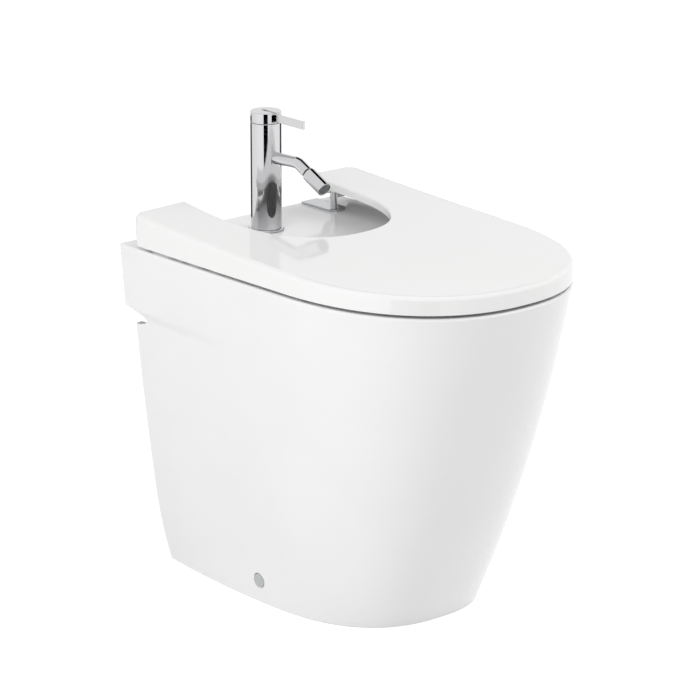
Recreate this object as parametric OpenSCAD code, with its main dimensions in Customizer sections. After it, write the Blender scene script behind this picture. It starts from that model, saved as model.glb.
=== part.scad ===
// Floor standing bidet with a cut-out cover, a single-lever mixer tap and its waste and trap.
// The origin is on the floor, in the middle of the footprint. The front faces -Y, the wall is at +Y.

/* [Ceramic] */
// Width across the rim
width = 360; // [350:2:372]
// Depth from the wall to the front of the rim
depth = 530; // [520:2:550]
// Height of the rim above the floor
rim_h = 420; // [410:2:440]
// Length of the rounded front in plan
nose_l = 222; // [212:2:232]
// How far each side draws in from rim to floor
side_taper = 49; // [44:1:54]
// How far the front draws in from rim to floor
front_taper = 134; // [110:2:144]
// Thickness of the china walls
wall = 12; // [10:0.5:13]
// Thickness of the deck that carries the tap
deck_t = 14; // [12:0.5:16]
// Height of the block at the back that meets the wall
block_h = 79; // [72:1:84]
// How far the lower part stands clear of the wall
wall_gap = 10; // [6:1:14]
// Depth of the bowl
bowl_d = 135; // [120:5:140]
// Width of the rim round the bowl
bowl_rim = 34; // [32:1:38]
// Distance of the bowl's back edge from the wall
bowl_back = 160; // [150:2:166]
// Distance of the waste from the wall
waste_wall = 255; // [245:5:260]

/* [Floor fixing] */
// Distance of the side fixings from the wall
fix_wall = 208; // [190:2:215]
// Height of the side fixings
fix_h = 31; // [28:1:36]
// Thickness of the fixing bosses, with the china's side
boss_t = 21; // [20:0.5:25]
// Diameter of the caps over the side screws
cap_d = 16; // [14:0.5:18]
// Diameter of the side screws
fix_screw_d = 6; // [5:0.5:7]
// Thickness of the floor angles
angle_t = 3; // [2.5:0.5:4]
// Diameter of the floor holes in the angles
floor_hole_d = 8.5; // [6:0.5:9]

/* [Waste and trap] */
// Diameter of the waste flange
flange_d = 64; // [62:1:66]
// Thread diameter of the waste tail
tail_d = 42; // [40:0.5:44]
// Gap between the trap's top and the waste tail
trap_gap = 15; // [12:1:20]
// Travel of the plug
plug_travel = 8; // [6:0.5:9]
// Diameter of the trap's pipes
pipe_d = 32; // [32:1:36]
// Diameter of the trap's cup
cup_d = 70; // [66:1:76]
// Length of the trap's dip tube below the outlet's axis
dip_l = 40; // [38:1:44]
// Depth of the trap's cup
cup_h = 42; // [40:1:48]
// Height of the outlet pipe above the floor
outlet_h = 160; // [155:1:162]

/* [Tap] */
// Distance of the tap from the wall
tap_wall = 67.5; // [64:0.5:72]
// Diameter of the tap's column
tap_d = 38; // [38:0.5:40]
// Height of the tap above the deck
tap_h = 150; // [148:1:160]
// Hole for the tap in the deck
tap_hole_d = 35; // [34:0.5:36]
// Height of the turning cap
cap_h = 13.5; // [13:0.25:15]
// Distance from the column's axis to the lever's tip
lever_l = 71.5; // [60:0.5:85]
// Width of the lever's blade
lever_w = 4; // [3.5:0.25:5]
// Diameter of the spout
spout_d = 14.5; // [14:0.25:15]
// Height of the spout above the deck
spout_h = 93.5; // [88:0.5:94]
// Distance from the column's axis to the spout's bend
spout_l = 60.5; // [50:0.5:70]
// Length from the bend to the end of the spout
spout_end_l = 19.8; // [18:0.2:24]
// Slope of the spout's end and nozzle
spout_drop = 26.5; // [22:0.5:30]
// Diameter of the nozzle
nozzle_d = 18; // [17.5:0.25:19]
// Length of the nozzle
nozzle_l = 32.2; // [30:0.2:36]
// Diameter of the ball that carries the nozzle
ball_d = 11; // [10:0.1:11.2]

/* [Cover] */
// Gap between the rim and the cover
lid_gap = 4; // [3.5:0.25:6]
// Height of the cover's top above the rim at its front
lid_edge = 26.5; // [25:0.5:28]
// Rise of the cover's top from its front to the wall
lid_rise = 18.5; // [17:0.5:20]
// Height of the crown across the cover's width at the wall
lid_crown = 2.5; // [1.5:0.5:4]
// Thickness of the cover's top
lid_t = 4; // [3.5:0.25:4.5]
// Thickness of the cover's skirt
skirt_t = 5; // [4:0.25:5]
// Distance of the cover's back edge from the wall
lid_wall = 27; // [26:0.5:28]
// Width of the cover on each side of the cut-out
arm_w = 77.5; // [76:0.5:80]
// Distance from the wall to the front of the cut-out
cut_l = 245; // [240:1:250]
// Length of the rounded front of the cut-out
cut_nose = 130; // [122:1:134]
// Depth of the band round the cut-out
band_h = 10; // [8:0.5:10]

/* [Hinges] */
// Distance of the hinge bolts from the sides
hinge_in = 55; // [53:0.5:56]
// Distance of the hinge axis from the wall
hinge_wall = 40; // [40:0.5:42]
// Height of the hinge axis above the rim
hinge_h = 27; // [26.5:0.5:28]
// Width of the hinge plates
plate_w = 26; // [24:0.5:28]
// Thickness of the hinge plates
plate_t = 3; // [2.5:0.25:3.5]
// Diameter of the hinge posts
post_d = 8.6; // [7:0.1:9]
// Diameter of the damper shafts
shaft_d = 8; // [7:0.25:8.5]
// Diameter of the cover's rubber bumpers
bumper_d = 12; // [10:0.5:13]

/* [Fit] */
// Gap between pieces that seat on each other but stay free
seat_gap = 0.3; // [0.2:0.05:0.4]
// Radial gap of a shaft that turns in its bore
run_gap = 0.05; // [0.02:0.01:0.08]

/* [Hidden] */

$fn = 64;
cut = 1;                     // overrun of a cut past the surface that it opens
wall_y = depth / 2;
front_tip = -depth / 2;
under_deck = rim_h - deck_t;
flank_n = 4;                 // steps along each straight side
nose_n = 32;                 // steps round the front

// ---- ceramic outline ----
nose_y0 = front_tip + nose_l;
nose_shift = 77;             // how far the rounded front starts further back at the floor
nose_pow = 2.27;             // 2 is an ellipse, more is squarer
nose_pow_gain = 0.2;
block_z = rim_h - block_h;   // underside of the back block
step_z = block_z - 16;       // where the lower part has drawn in below it
block_draw = 2.5;            // how far the sides draw in towards the wall
lower_draw = 9;
floor_draw = 8;              // more of it near the floor
draw_z = 100;

function spow(v, p) = sign(v) * pow(abs(v), p);
// Share of the taper at height z: 0 at the rim and about 1 at the floor
function taper(z) = let (t = 1 - z / rim_h) 0.66 * t + 0.40 * t * t;
function half_w(z) = width / 2 - side_taper * taper(z);
function draw_in(z) = z >= block_z ? block_draw
    : lower_draw + floor_draw * pow(max(0, 1 - z / draw_z), 2);
function back_y(z) = z >= block_z ? wall_y : wall_y - wall_gap;

// Left side, front and right side of a plan outline, from the back and round to the back
function outline(w, y0, yf, yb, n, k, z) = [
    for (s = [0 : flank_n]) let (q = 1 - s / flank_n) [-(w - k * q * q), y0 + q * (yb - y0), z],
    for (j = [1 : nose_n - 1]) let (a = 180 * j / nose_n)
        [-w * spow(cos(a), 2 / n), y0 - (y0 - yf) * pow(sin(a), 2 / n), z],
    for (s = [flank_n : -1 : 0]) let (q = 1 - s / flank_n) [w - k * q * q, y0 + q * (yb - y0), z]
];
// Outline of the china at height z, drawn in by i and with its back at yb
function china_ring(z, i, yb) = outline(half_w(z) - i, nose_y0 + nose_shift * taper(z),
    front_tip + front_taper * taper(z) + i, yb, nose_pow + nose_pow_gain * taper(z), draw_in(z), z);

// Solid through rings that all have the same number of points
module stack(rings) {
    n = len(rings[0]);
    top = len(rings) - 1;
    polyhedron(
        points = [for (r = rings) each r],
        faces = [
            [for (i = [0 : n - 1]) i],
            for (k = [0 : top - 1], i = [0 : n - 1]) let (a = k * n, b = a + n, j = (i + 1) % n)
                each [[a + i, b + i, b + j], [a + i, b + j, a + j]],
            [for (i = [n - 1 : -1 : 0]) top * n + i]
        ]);
}

foot_r = 3;                  // rounded lower edge
rim_r = 3;                   // rounded upper edge
module china_outside() {
    stack([
        [for (p = china_ring(foot_r, foot_r * 0.3, back_y(0))) [p[0], p[1], 0]],
        china_ring(foot_r, 0, back_y(0)),
        for (z = [20, 40, 80, 120, 165, 210, 255, 295]) china_ring(z * rim_h / 420, 0, back_y(z)),
        china_ring(step_z, 0, back_y(0)),
        china_ring(block_z, 0, back_y(block_z)),
        china_ring(rim_h - rim_r, 0, wall_y),
        [for (p = china_ring(rim_h, 0.3 * rim_r, wall_y)) [p[0], p[1], rim_h - 0.3 * rim_r]],
        [for (p = china_ring(rim_h, rim_r, wall_y)) [p[0], p[1], rim_h]]
    ]);
}
module china_hollow() {
    back = wall_y + 20;
    stack([
        [for (p = china_ring(0, wall, back)) [p[0], p[1], -cut]],
        for (z = [40, 120, 210, 295]) china_ring(z * rim_h / 420, wall, back),
        china_ring(step_z, wall, back),
        china_ring(block_z, wall, back),
        [for (p = china_ring(under_deck, wall, back)) [p[0], p[1], under_deck]]
    ]);
}

// ---- bowl ----
waste_y = wall_y - waste_wall;
bowl_z = rim_h - bowl_d;     // floor of the bowl, where the flange sits
seat_r = flange_d / 2 + 8;
bowl_w = width / 2 - bowl_rim;
bowl_front = front_tip + bowl_rim;
bowl_end = wall_y - bowl_back;
bowl_lip = 5;                // rounding where the bowl meets the rim
// Ring of the bowl at share f of its widening, from the seat at 0 to the rim at 1, grown by g
function bowl_ring(f, g, z) = let (
        w = seat_r + (bowl_w - seat_r) * f + g,
        y1 = waste_y + seat_r + (bowl_end - waste_y - seat_r) * f + g,
        y0 = waste_y - seat_r + (bowl_front - waste_y + seat_r) * f - g,
        n = 2 + 0.3 * f, m = 36)
    [for (j = [0 : m - 1]) let (a = 360 * j / m)
        [w * spow(cos(a), 2 / n), (y0 + y1) / 2 + (y1 - y0) / 2 * spow(sin(a), 2 / n), z]];
module bowl_space() {
    stack([
        bowl_ring(0, 0, bowl_z),
        for (a = [10, 25, 40, 55, 70, 82])
            bowl_ring(pow(sin(a), 0.8), 0, bowl_z + (bowl_d - 8) * (1 - pow(cos(a), 0.9))),
        bowl_ring(1, 0, rim_h - bowl_lip),
        bowl_ring(1, 0.3 * bowl_lip, rim_h - 0.3 * bowl_lip),
        bowl_ring(1, bowl_lip, rim_h),
        bowl_ring(1, bowl_lip, rim_h + cut)
    ]);
}
module bowl_shell() {
    stack([
        bowl_ring(0, wall * 0.6, bowl_z - wall),
        for (a = [10, 30, 50, 70])
            bowl_ring(pow(sin(a), 0.8), wall, bowl_z - wall + (bowl_d - 8) * (1 - pow(cos(a), 0.9))),
        bowl_ring(1, wall, under_deck - 20),
        bowl_ring(1, wall, under_deck + cut)
    ]);
}

// ---- china ----
tap_y = wall_y - tap_wall;
fix_y = wall_y - fix_wall;
boss_l = 44;
boss_h = 60;
fix_out = half_w(fix_h);     // outside of the china beside the fixing
boss_x = fix_out - boss_t;
cap_sink = 1;
cap_t = 2;
cap_rim = 5;                 // height of the cap's skirt over the screw head
cap_in = fix_out - cap_sink - cap_t - cap_rim;  // floor of the cap's pocket
sleeve_r = 5.2;
sleeve_flange = 2;
hinge_x = width / 2 - hinge_in;
stud_y = wall_y - 30;
stud_hole_r = 7;
waste_hole_r = 24;
notch = [[0, 78], [20, 82], [36, 89], [33, 94], [10, 98]];  // from the wall, below the rim
module both() { children(); mirror([1, 0, 0]) children(); }
module ceramic_body() color("white") difference() {
    china_outside();
    difference() {
        china_hollow();
        bowl_shell();
        both() translate([boss_x, fix_y - boss_l / 2, -2 * cut]) cube([100, boss_l, boss_h]);
    }
    bowl_space();
    translate([0, waste_y, bowl_z - 2 * wall]) cylinder(r = waste_hole_r, h = 3 * wall);
    translate([0, tap_y, under_deck - cut]) cylinder(d = tap_hole_d, h = deck_t + 2 * cut);
    both() {
        translate([hinge_x, stud_y, under_deck - cut]) cylinder(r = stud_hole_r, h = deck_t + 2 * cut);
        translate([boss_x - cut, fix_y, fix_h]) rotate([0, 90, 0]) cylinder(r = sleeve_r, h = 40);
        translate([cap_in - sleeve_flange, fix_y, fix_h]) rotate([0, 90, 0])
            cylinder(d = cap_d + 0.4, h = 40);
    }
    translate([width, 0, 0]) rotate([0, -90, 0]) linear_extrude(2 * width)
        polygon([for (p = notch) [rim_h - p[1], wall_y - p[0]], [rim_h - 99, wall_y + 10],
            [rim_h - 78, wall_y + 10]]);
}

// ---- floor fixing ----
angle_x = boss_x - seat_gap; // outer face of the upright leg
angle_foot = 38;
angle_up = 58;
angle_l = 44;
module floor_angles() color("silver") both() difference() {
    translate([angle_x - angle_foot, fix_y - angle_l / 2, 0]) union() {
        cube([angle_foot, angle_l, angle_t]);
        translate([angle_foot - angle_t, 0, 0]) cube([angle_t, angle_l, angle_up]);
    }
    for (s = [-1, 1]) translate([angle_x - angle_foot / 2 - 2, fix_y + s * 13, -cut])
        cylinder(d = floor_hole_d, h = angle_t + 2 * cut);
    translate([angle_x - angle_t - cut, fix_y, fix_h]) rotate([0, 90, 0])
        cylinder(d = fix_screw_d + 0.4, h = angle_t + 2 * cut);
}
nut_t = 5;
module angle_nuts() color("silver") both()
    translate([angle_x - angle_t - nut_t, fix_y, fix_h]) rotate([0, 90, 0]) difference() {
        translate([-6, -6, 0]) cube([12, 12, nut_t]);
        translate([0, 0, -cut]) cylinder(d = fix_screw_d + 0.1, h = nut_t + 2 * cut);
    }
module side_sleeves() color("gainsboro") both()
    translate([boss_x, fix_y, fix_h]) rotate([0, 90, 0]) difference() {
        union() {
            cylinder(r = sleeve_r - 0.05, h = cap_in - boss_x);
            translate([0, 0, cap_in - sleeve_flange - boss_x]) cylinder(d = cap_d, h = sleeve_flange);
        }
        translate([0, 0, -cut]) cylinder(d = fix_screw_d + 0.4, h = 60);
    }
head_d = 1.6 * fix_screw_d;
head_t = 4;
module side_screws() color("silver") both()
    translate([0, fix_y, fix_h]) rotate([0, 90, 0]) {
        x0 = angle_x - angle_t - nut_t - 8;
        difference() {
            union() {
                translate([0, 0, x0]) cylinder(d = fix_screw_d, h = cap_in - x0 + head_t / 2);
                translate([0, 0, cap_in]) cylinder(d = head_d, h = head_t);
            }
            for (a = [0, 90]) rotate([0, 0, a]) translate([-0.6, -2.8, cap_in + head_t - 2])
                cube([1.2, 5.6, 3]);
        }
    }
module side_caps() color("darkgray") both()
    translate([cap_in, fix_y, fix_h]) rotate([0, 90, 0]) difference() {
        cylinder(d = cap_d, h = cap_rim + cap_t);
        translate([0, 0, -cut]) cylinder(d = head_d + 1, h = cap_rim + cut);
    }

// ---- waste ----
gasket_t = 2;
flange_t = 3;
throat_r = tail_d / 2 - 4.5;
spigot_r = tail_d / 2 - 2.6;
flange_z = bowl_z + gasket_t;
trap_top = outlet_h + pipe_d / 2 + 9;
tail_z = trap_top + trap_gap;
bar_z = bowl_z - 45;
bar_h = 6;
stem_r = 3;
module waste_flange() color("silver") translate([0, waste_y, 0]) rotate_extrude() polygon([
    [throat_r, flange_z - 22], [spigot_r, flange_z - 22], [spigot_r, flange_z],
    [flange_d / 2, flange_z], [flange_d / 2, flange_z + 1], [flange_d / 2 - 2, flange_z + flange_t],
    [flange_d / 2 - 4, flange_z + flange_t], [throat_r + 3, flange_z + 1], [throat_r, flange_z - 1]]);
module flange_gasket() color("dimgray") translate([0, waste_y, bowl_z])
    ring_tube(flange_d / 2 - 1, tail_d / 2 + 0.3, gasket_t);
module ring_tube(r_out, r_in, h) difference() {
    cylinder(r = r_out, h = h);
    translate([0, 0, -cut]) cylinder(r = r_in, h = h + 2 * cut);
}
module waste_body() color("silver") translate([0, waste_y, 0]) union() {
    translate([0, 0, tail_z]) ring_tube(tail_d / 2, spigot_r + 0.05, flange_z - tail_z);
    difference() {
        translate([-spigot_r - 0.5, -7, bar_z]) cube([2 * spigot_r + 1, 14, bar_h]);
        translate([0, 0, bar_z - cut]) cylinder(r = 4, h = bar_h + 2 * cut);
    }
}
module cone_gasket() color("dimgray") translate([0, waste_y, bowl_z - wall]) mirror([0, 0, 1])
    difference() {
        cylinder(r1 = 30, r2 = 27, h = 6);
        translate([0, 0, -cut]) cylinder(r = tail_d / 2 + 0.1, h = 6 + 2 * cut);
    }
module waste_nut() color("silver") translate([0, waste_y, bowl_z - wall - 16]) difference() {
    cylinder(r = 31, h = 10, $fn = 6);
    translate([0, 0, -cut]) cylinder(r = tail_d / 2 + 0.1, h = 10 + 2 * cut);
}
cart_top = bar_z + bar_h + 22;
module click_cartridge() color("gainsboro") translate([0, waste_y, 0]) difference() {
    union() {
        translate([0, 0, bar_z - 6]) cylinder(r = 3.95, h = 12 + bar_h);
        translate([0, 0, bar_z + bar_h]) cylinder(r = 6.5, h = cart_top - bar_z - bar_h);
    }
    translate([0, 0, bar_z + 2]) cylinder(r = stem_r + run_gap, h = 60);
}
plug_z = flange_z + flange_t + plug_travel + seat_gap;   // underside of the raised plug's rim
plug_r = flange_d / 2 - 5;
boss_z = plug_z - 4;
module click_spring() color("silver") translate([0, waste_y, cart_top])
    ring_tube(stem_r + 1.6, stem_r + 0.5, boss_z - cart_top);
module plug_stem() color("silver") translate([0, waste_y, cart_top - 12])
    cylinder(r = stem_r, h = plug_z + 1 - cart_top + 12);
module waste_plug() color("silver") translate([0, waste_y, 0]) difference() {
    rotate_extrude() polygon([
        [0, boss_z], [stem_r + 3, boss_z], [stem_r + 3, plug_z], [plug_r, plug_z], [plug_r, plug_z + 2],
        for (a = [10 : 10 : 90]) [plug_r * cos(a), plug_z + 2 + 3 * sin(a)]]);
    translate([0, 0, boss_z - cut]) cylinder(r = stem_r, h = plug_z + 1 - boss_z + cut);
}
module plug_seal() color("dimgray") translate([0, waste_y, plug_z - 1.5]) ring_tube(plug_r - 6, plug_r - 9, 1.5);

// ---- trap ----
pipe_r = pipe_d / 2;
pipe_t = 2;
lip_r = tail_d / 2 - 1;
module trap_nut() color("silver") translate([0, waste_y, 0]) difference() {
    translate([0, 0, tail_z - 10]) cylinder(r = tail_d / 2 + 5, h = 20, $fn = 12);
    translate([0, 0, tail_z - 6]) cylinder(r = tail_d / 2 + 0.1, h = 20);
    translate([0, 0, tail_z - 12]) cylinder(r = pipe_r + 0.2, h = 20);
}
module trap_seal() color("dimgray") translate([0, waste_y, tail_z - 3]) ring_tube(lip_r, pipe_r + 0.1, 3);
dip_z = outlet_h - dip_l;
module trap_tube() color("silver") translate([0, waste_y, 0]) difference() {
    union() {
        translate([0, 0, dip_z]) cylinder(r = pipe_r, h = tail_z - dip_z);
        translate([0, 0, tail_z - 6]) cylinder(r = lip_r, h = 3);
    }
    translate([0, 0, dip_z - cut]) cylinder(r = pipe_r - pipe_t, h = tail_z - dip_z + 2 * cut);
}
trap_r = cup_d / 2 - 3;
cup_top = outlet_h - pipe_r - 29;
socket_y = waste_y + trap_r + 18;
module trap_body() color("silver") difference() {
    union() {
        translate([0, waste_y, cup_top]) cylinder(r = trap_r, h = trap_top - cup_top);
        translate([0, waste_y, outlet_h]) rotate([-90, 0, 0]) cylinder(r = pipe_r + 5, h = socket_y - waste_y);
    }
    translate([0, waste_y, cup_top - cut]) cylinder(r = trap_r - 3, h = trap_top - cup_top - 3);
    translate([0, waste_y, trap_top - 10]) cylinder(r = pipe_r + 0.2, h = 20);
    translate([0, waste_y + pipe_r + 4, outlet_h]) rotate([-90, 0, 0]) cylinder(r = pipe_r - 1, h = 100);
    translate([0, socket_y - 12, outlet_h]) rotate([-90, 0, 0]) cylinder(r = pipe_r + 0.2, h = 20);
}
cup_t = 3;
cup_bottom = cup_top - cup_h;
module trap_cup() color("silver") translate([0, waste_y, 0]) difference() {
    union() {
        translate([0, 0, cup_bottom + 8]) cylinder(r = cup_d / 2 + 1, h = cup_top + 10 - cup_bottom - 8);
        translate([0, 0, cup_bottom]) cylinder(r1 = cup_d / 2 - 6, r2 = cup_d / 2 + 1, h = 8);
    }
    translate([0, 0, cup_top - 2]) cylinder(r = trap_r + 0.2, h = 20);
    translate([0, 0, cup_bottom + cup_t]) cylinder(r = trap_r - 6, h = 60);
}
module cup_seal() color("dimgray") translate([0, waste_y, cup_top - 2]) ring_tube(trap_r, trap_r - 3, 2);
module outlet_nut() color("silver") translate([0, socket_y - 8, outlet_h]) rotate([-90, 0, 0]) difference() {
    cylinder(r = pipe_r + 9, h = 18, $fn = 12);
    translate([0, 0, -cut]) cylinder(r = pipe_r + 5.1, h = 13 + cut);
    translate([0, 0, 10]) cylinder(r = pipe_r + 0.3, h = 12);
}
module outlet_seal() color("dimgray") translate([0, socket_y, outlet_h]) rotate([-90, 0, 0])
    ring_tube(pipe_r + 4.8, pipe_r + 0.1, 4);
pipe_free = 50;              // plain end of the outlet pipe beyond its stop bead
bead_h = 2;
bead_w = 3;
module outlet_pipe() color("silver") translate([0, socket_y - 11, outlet_h]) rotate([-90, 0, 0]) {
    l = wall_y - socket_y + 11;
    difference() {
        union() {
            cylinder(r = pipe_r, h = l);
            translate([0, 0, l - pipe_free - bead_w]) cylinder(r = pipe_r + bead_h, h = bead_w);
        }
        translate([0, 0, -cut]) cylinder(r = pipe_r - pipe_t, h = l + 2 * cut);
    }
}

// ---- tap column ----
tap_r = tap_d / 2;
ring_in = tap_hole_d / 2 - 1;
seal_t = 0.6;
ring_t = 2.4;
col_z = rim_h + seal_t + ring_t;
tap_top = rim_h + tap_h;
seam_z = tap_top - cap_h;
pivot_z = tap_top - 20;      // the lever lifts about this height
nut_r = tap_r - 2.8;
shoulder_z = pivot_z - 1;    // top of the cartridge's wide part
cart_r = nut_r - 2.2;
cart_z = shoulder_z - 29;
way_r = 4;
spout_z = rim_h + spout_h;
spout_r = spout_d / 2;
spout_in = 14.5;             // the spout is let into the column up to this distance from its axis
stud_r = 3;
module at_tap() { translate([0, tap_y, 0]) children(); }
module tap_base_seal() color("dimgray") at_tap() translate([0, 0, rim_h]) ring_tube(tap_r + 2, ring_in, seal_t);
module tap_base_ring() color("silver") at_tap() translate([0, 0, rim_h + seal_t]) difference() {
    union() {
        cylinder(r = tap_r + 3, h = ring_t - 1);
        translate([0, 0, ring_t - 1]) cylinder(r1 = tap_r + 3, r2 = tap_r + 2, h = 1);
    }
    translate([0, 0, -cut]) cylinder(r = ring_in, h = ring_t + 2 * cut);
}
inlet_x = 8.5;
module tap_body() color("silver") at_tap() difference() {
    translate([0, 0, col_z]) cylinder(r = tap_r, h = seam_z - col_z);
    translate([0, 0, shoulder_z]) cylinder(r = nut_r + 0.05, h = 20);
    translate([0, 0, cart_z]) cylinder(r = cart_r + 0.1, h = 40);
    both() translate([inlet_x, 2, col_z - cut]) cylinder(r = way_r, h = cart_z - col_z + 2 * cut);
    translate([0, 0, col_z - cut]) cylinder(r = stud_r, h = 20);
    translate([0, -8, spout_z - 4]) cylinder(r = way_r - 0.5, h = cart_z - spout_z + 5);
    translate([0, -8, spout_z]) rotate([90, 0, 0]) cylinder(r = way_r, h = spout_in - 6);
    translate([0, -spout_in, spout_z + spout_base]) rotate([90 - spout_rise, 0, 0]) cylinder(r = spout_r, h = 20);
}

// ---- spout and swivel ----
spout_rise = 2.6;
spout_base = 0.2;            // rise of the spout's axis where it meets the socket
bend_r = 18;
bend_turn = spout_rise + spout_drop;
bend_tan = bend_r * tan(bend_turn / 2);
leg_l = (spout_l - spout_in) / cos(spout_rise);
spout_bore = 4.5;
groove = 2.5;
ball_in = 3;                 // the ball's centre behind the nozzle's back face
ball_r = ball_d / 2;
seat_r_out = ball_r + 1.1;
ball_s = spout_end_l + groove + ball_in;
neck_r = 3.4;
// Frame along the first leg, with +Z out of the column
module at_leg() { at_tap() translate([0, -spout_in, spout_z + spout_base]) rotate([90 - spout_rise, 0, 0]) children(); }
// Frame along the second leg, with +Z towards the nozzle and the origin at the bend
module at_end() { at_leg() translate([0, 0, leg_l]) rotate([bend_turn, 0, 0]) children(); }
lap = 0.5;                   // length of each leg inside the bend, which is a hair wider
lap_r = 0.05;
module spout_path(r, over) {
    at_leg() translate([0, 0, -over]) cylinder(r = r, h = leg_l - bend_tan + over + lap);
    at_leg() translate([0, -bend_r, leg_l - bend_tan]) rotate([90, 0, 90])
        rotate_extrude(angle = bend_turn) translate([bend_r, 0]) circle(r = r + lap_r);
    at_end() translate([0, 0, bend_tan - lap]) cylinder(r = r, h = spout_end_l - bend_tan + over + lap);
}
module tap_spout() color("silver") difference() {
    spout_path(spout_r, 0);
    spout_path(spout_bore, cut);
}
module at_ball() { at_end() translate([0, 0, ball_s]) children(); }
module swivel_ball() color("silver") at_ball() difference() {
    union() {
        sphere(r = ball_r);
        translate([0, 0, -groove - ball_in - 8]) cylinder(r = spout_bore, h = 8);
        translate([0, 0, -groove - ball_in]) cylinder(r = neck_r, h = groove + ball_in);
    }
    translate([0, 0, -20]) cylinder(r = 2.2, h = 40);
}
module swivel_seat() color("gainsboro") at_ball() difference() {
    sphere(r = seat_r_out);
    sphere(r = ball_r + run_gap);
    translate([0, 0, -10 - 2.6]) cylinder(r = 10, h = 10);
    translate([0, 0, 4]) cylinder(r = 10, h = 10);
}
ring_r = seat_r_out + 0.3;
module swivel_ring() color("silver") at_ball() difference() {
    translate([0, 0, 2]) cylinder(r = ring_r, h = 5.5);
    sphere(r = seat_r_out + run_gap);
    cylinder(r = 3.8, h = 20);
}
noz_r = nozzle_d / 2;
noz_end = nozzle_l - ball_in;
air_r = noz_r - 1.5;
module nozzle() color("silver") at_ball() difference() {
    union() {
        translate([0, 0, -ball_in]) cylinder(r1 = noz_r - 1, r2 = noz_r, h = 1);
        translate([0, 0, 1 - ball_in]) cylinder(r = noz_r, h = nozzle_l - 1);
    }
    sphere(r = seat_r_out + run_gap);
    translate([0, 0, 2]) cylinder(r = ring_r, h = noz_end);
    translate([0, 0, noz_end - 8]) cylinder(r = air_r, h = 20);
}
module aerator() color("gray") at_ball() translate([0, 0, noz_end - 6.6]) difference() {
    cylinder(r = air_r - 0.05, h = 6);
    translate([0, 0, 1.5]) for (k = [0 : 2], i = [0 : max(1, 6 * k) - 1])
        rotate([0, 0, 360 * i / max(1, 6 * k)]) translate([2.4 * k, 0, 0]) cylinder(r = 0.8, h = 10, $fn = 16);
    translate([0, 0, -cut]) cylinder(r = air_r - 2, h = cut + 2);
}
module aerator_seal() color("dimgray") at_ball() translate([0, 0, noz_end - 8])
    ring_tube(air_r - 0.1, air_r - 1.4, 1.4);

// ---- cartridge and handle ----
neck_h = 3.5;
stem_d = 7;
knuckle_r = 4.75;
module cartridge() color("gainsboro") at_tap() difference() {
    union() {
        translate([0, 0, cart_z]) cylinder(r = cart_r, h = shoulder_z - cart_z);
        translate([0, 0, shoulder_z]) cylinder(r = cart_r - 2.2, h = neck_h);
    }
    translate([0, 0, pivot_z - 3.5]) cylinder(r = 5.2, h = 20);
    translate([0, 0, pivot_z - 10]) cylinder(r = 7, h = 6.5);
}
module cartridge_nut() color("silver") at_tap() difference() {
    translate([0, 0, shoulder_z]) cylinder(r = nut_r, h = seam_z + 2.5 - shoulder_z);
    translate([0, 0, shoulder_z - cut]) cylinder(r = cart_r - 2, h = 20);
    translate([0, 0, shoulder_z + neck_h]) cylinder(r = nut_r - 2.7, h = 20);
}
module cartridge_stem() color("silver") at_tap() union() {
    translate([0, 0, pivot_z - 8]) cylinder(d = stem_d, h = 20);
    translate([0, 0, pivot_z]) sphere(r = knuckle_r);
}
cap_top_t = 2;
slot_back = 6.6;             // the slot reaches this far past the axis, for the lever's hub
slot_gap = 0.6;
pocket_w = 12;
pocket_sill = 1.8;           // height of the cap's wall under the pocket
module handle_cap() color("silver") at_tap() difference() {
    union() {
        translate([0, 0, seam_z + seat_gap]) cylinder(r = tap_r, h = cap_h - seat_gap - 0.8);
        translate([0, 0, tap_top - 0.8]) cylinder(r1 = tap_r, r2 = tap_r - 0.8, h = 0.8);
    }
    translate([0, 0, seam_z - cut]) cylinder(r = nut_r + run_gap, h = cap_h - cap_top_t + cut);
    translate([-lever_w / 2 - slot_gap, -tap_r - 5, tap_top - cap_top_t - 3])
        cube([lever_w + 2 * slot_gap, tap_r + 5 + slot_back, 20]);
    translate([-pocket_w / 2, -tap_r - 5, seam_z + seat_gap + pocket_sill]) cube([pocket_w, tap_r, cap_h - cap_top_t - pocket_sill]);
    translate([0, nut_r - 1, plug_h]) rotate([-90, 0, 0]) cylinder(r = screw_hole_r, h = 10);
}
screw_hole_r = 3;
plug_h = seam_z + 5;
module handle_plug() color("gray") at_tap() translate([0, nut_r + 0.3, plug_h]) rotate([-90, 0, 0])
    cylinder(r = screw_hole_r, h = tap_r - nut_r - 0.6);
hub_r = 19;                  // the slot's cover is an arc about the pivot
lever_deep = 9.6;
tip_cut = 0.8;
hub_top = 14;
module handle_lever() color("silver") at_tap() translate([0, 0, pivot_z]) difference() {
    union() {
        translate([-lever_w / 2, 0, 0]) rotate([90, 0, 90]) linear_extrude(lever_w) polygon([
            [-3, hub_r - lever_deep], [-3, hub_top - 1.5], [7, hub_top - 1.5],
            for (a = [-28 : 4 : 0]) [-hub_r * sin(a), hub_r * cos(a)],
            [-lever_l + tip_cut, hub_r], [-lever_l, hub_r - tip_cut],
            [-lever_l, hub_r - lever_deep + tip_cut], [-lever_l + tip_cut, hub_r - lever_deep]]);
        translate([0, 0, hub_top - 8]) cylinder(r = 6.5, h = 8);
    }
    translate([0, 0, -cut]) cylinder(d = stem_d, h = 12 + cut);
    translate([0, 0, grub_z]) rotate([-90, 0, 0]) cylinder(r = grub_r, h = 10);
}
grub_r = 2.4;
grub_z = 9.4;
module handle_screw() color("dimgray") at_tap() translate([0, stem_d / 2, pivot_z + grub_z]) rotate([-90, 0, 0])
    difference() {
        cylinder(r = grub_r, h = 4);
        translate([0, 0, 2]) cylinder(r = 1.4, h = 4, $fn = 6);
    }

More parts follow.
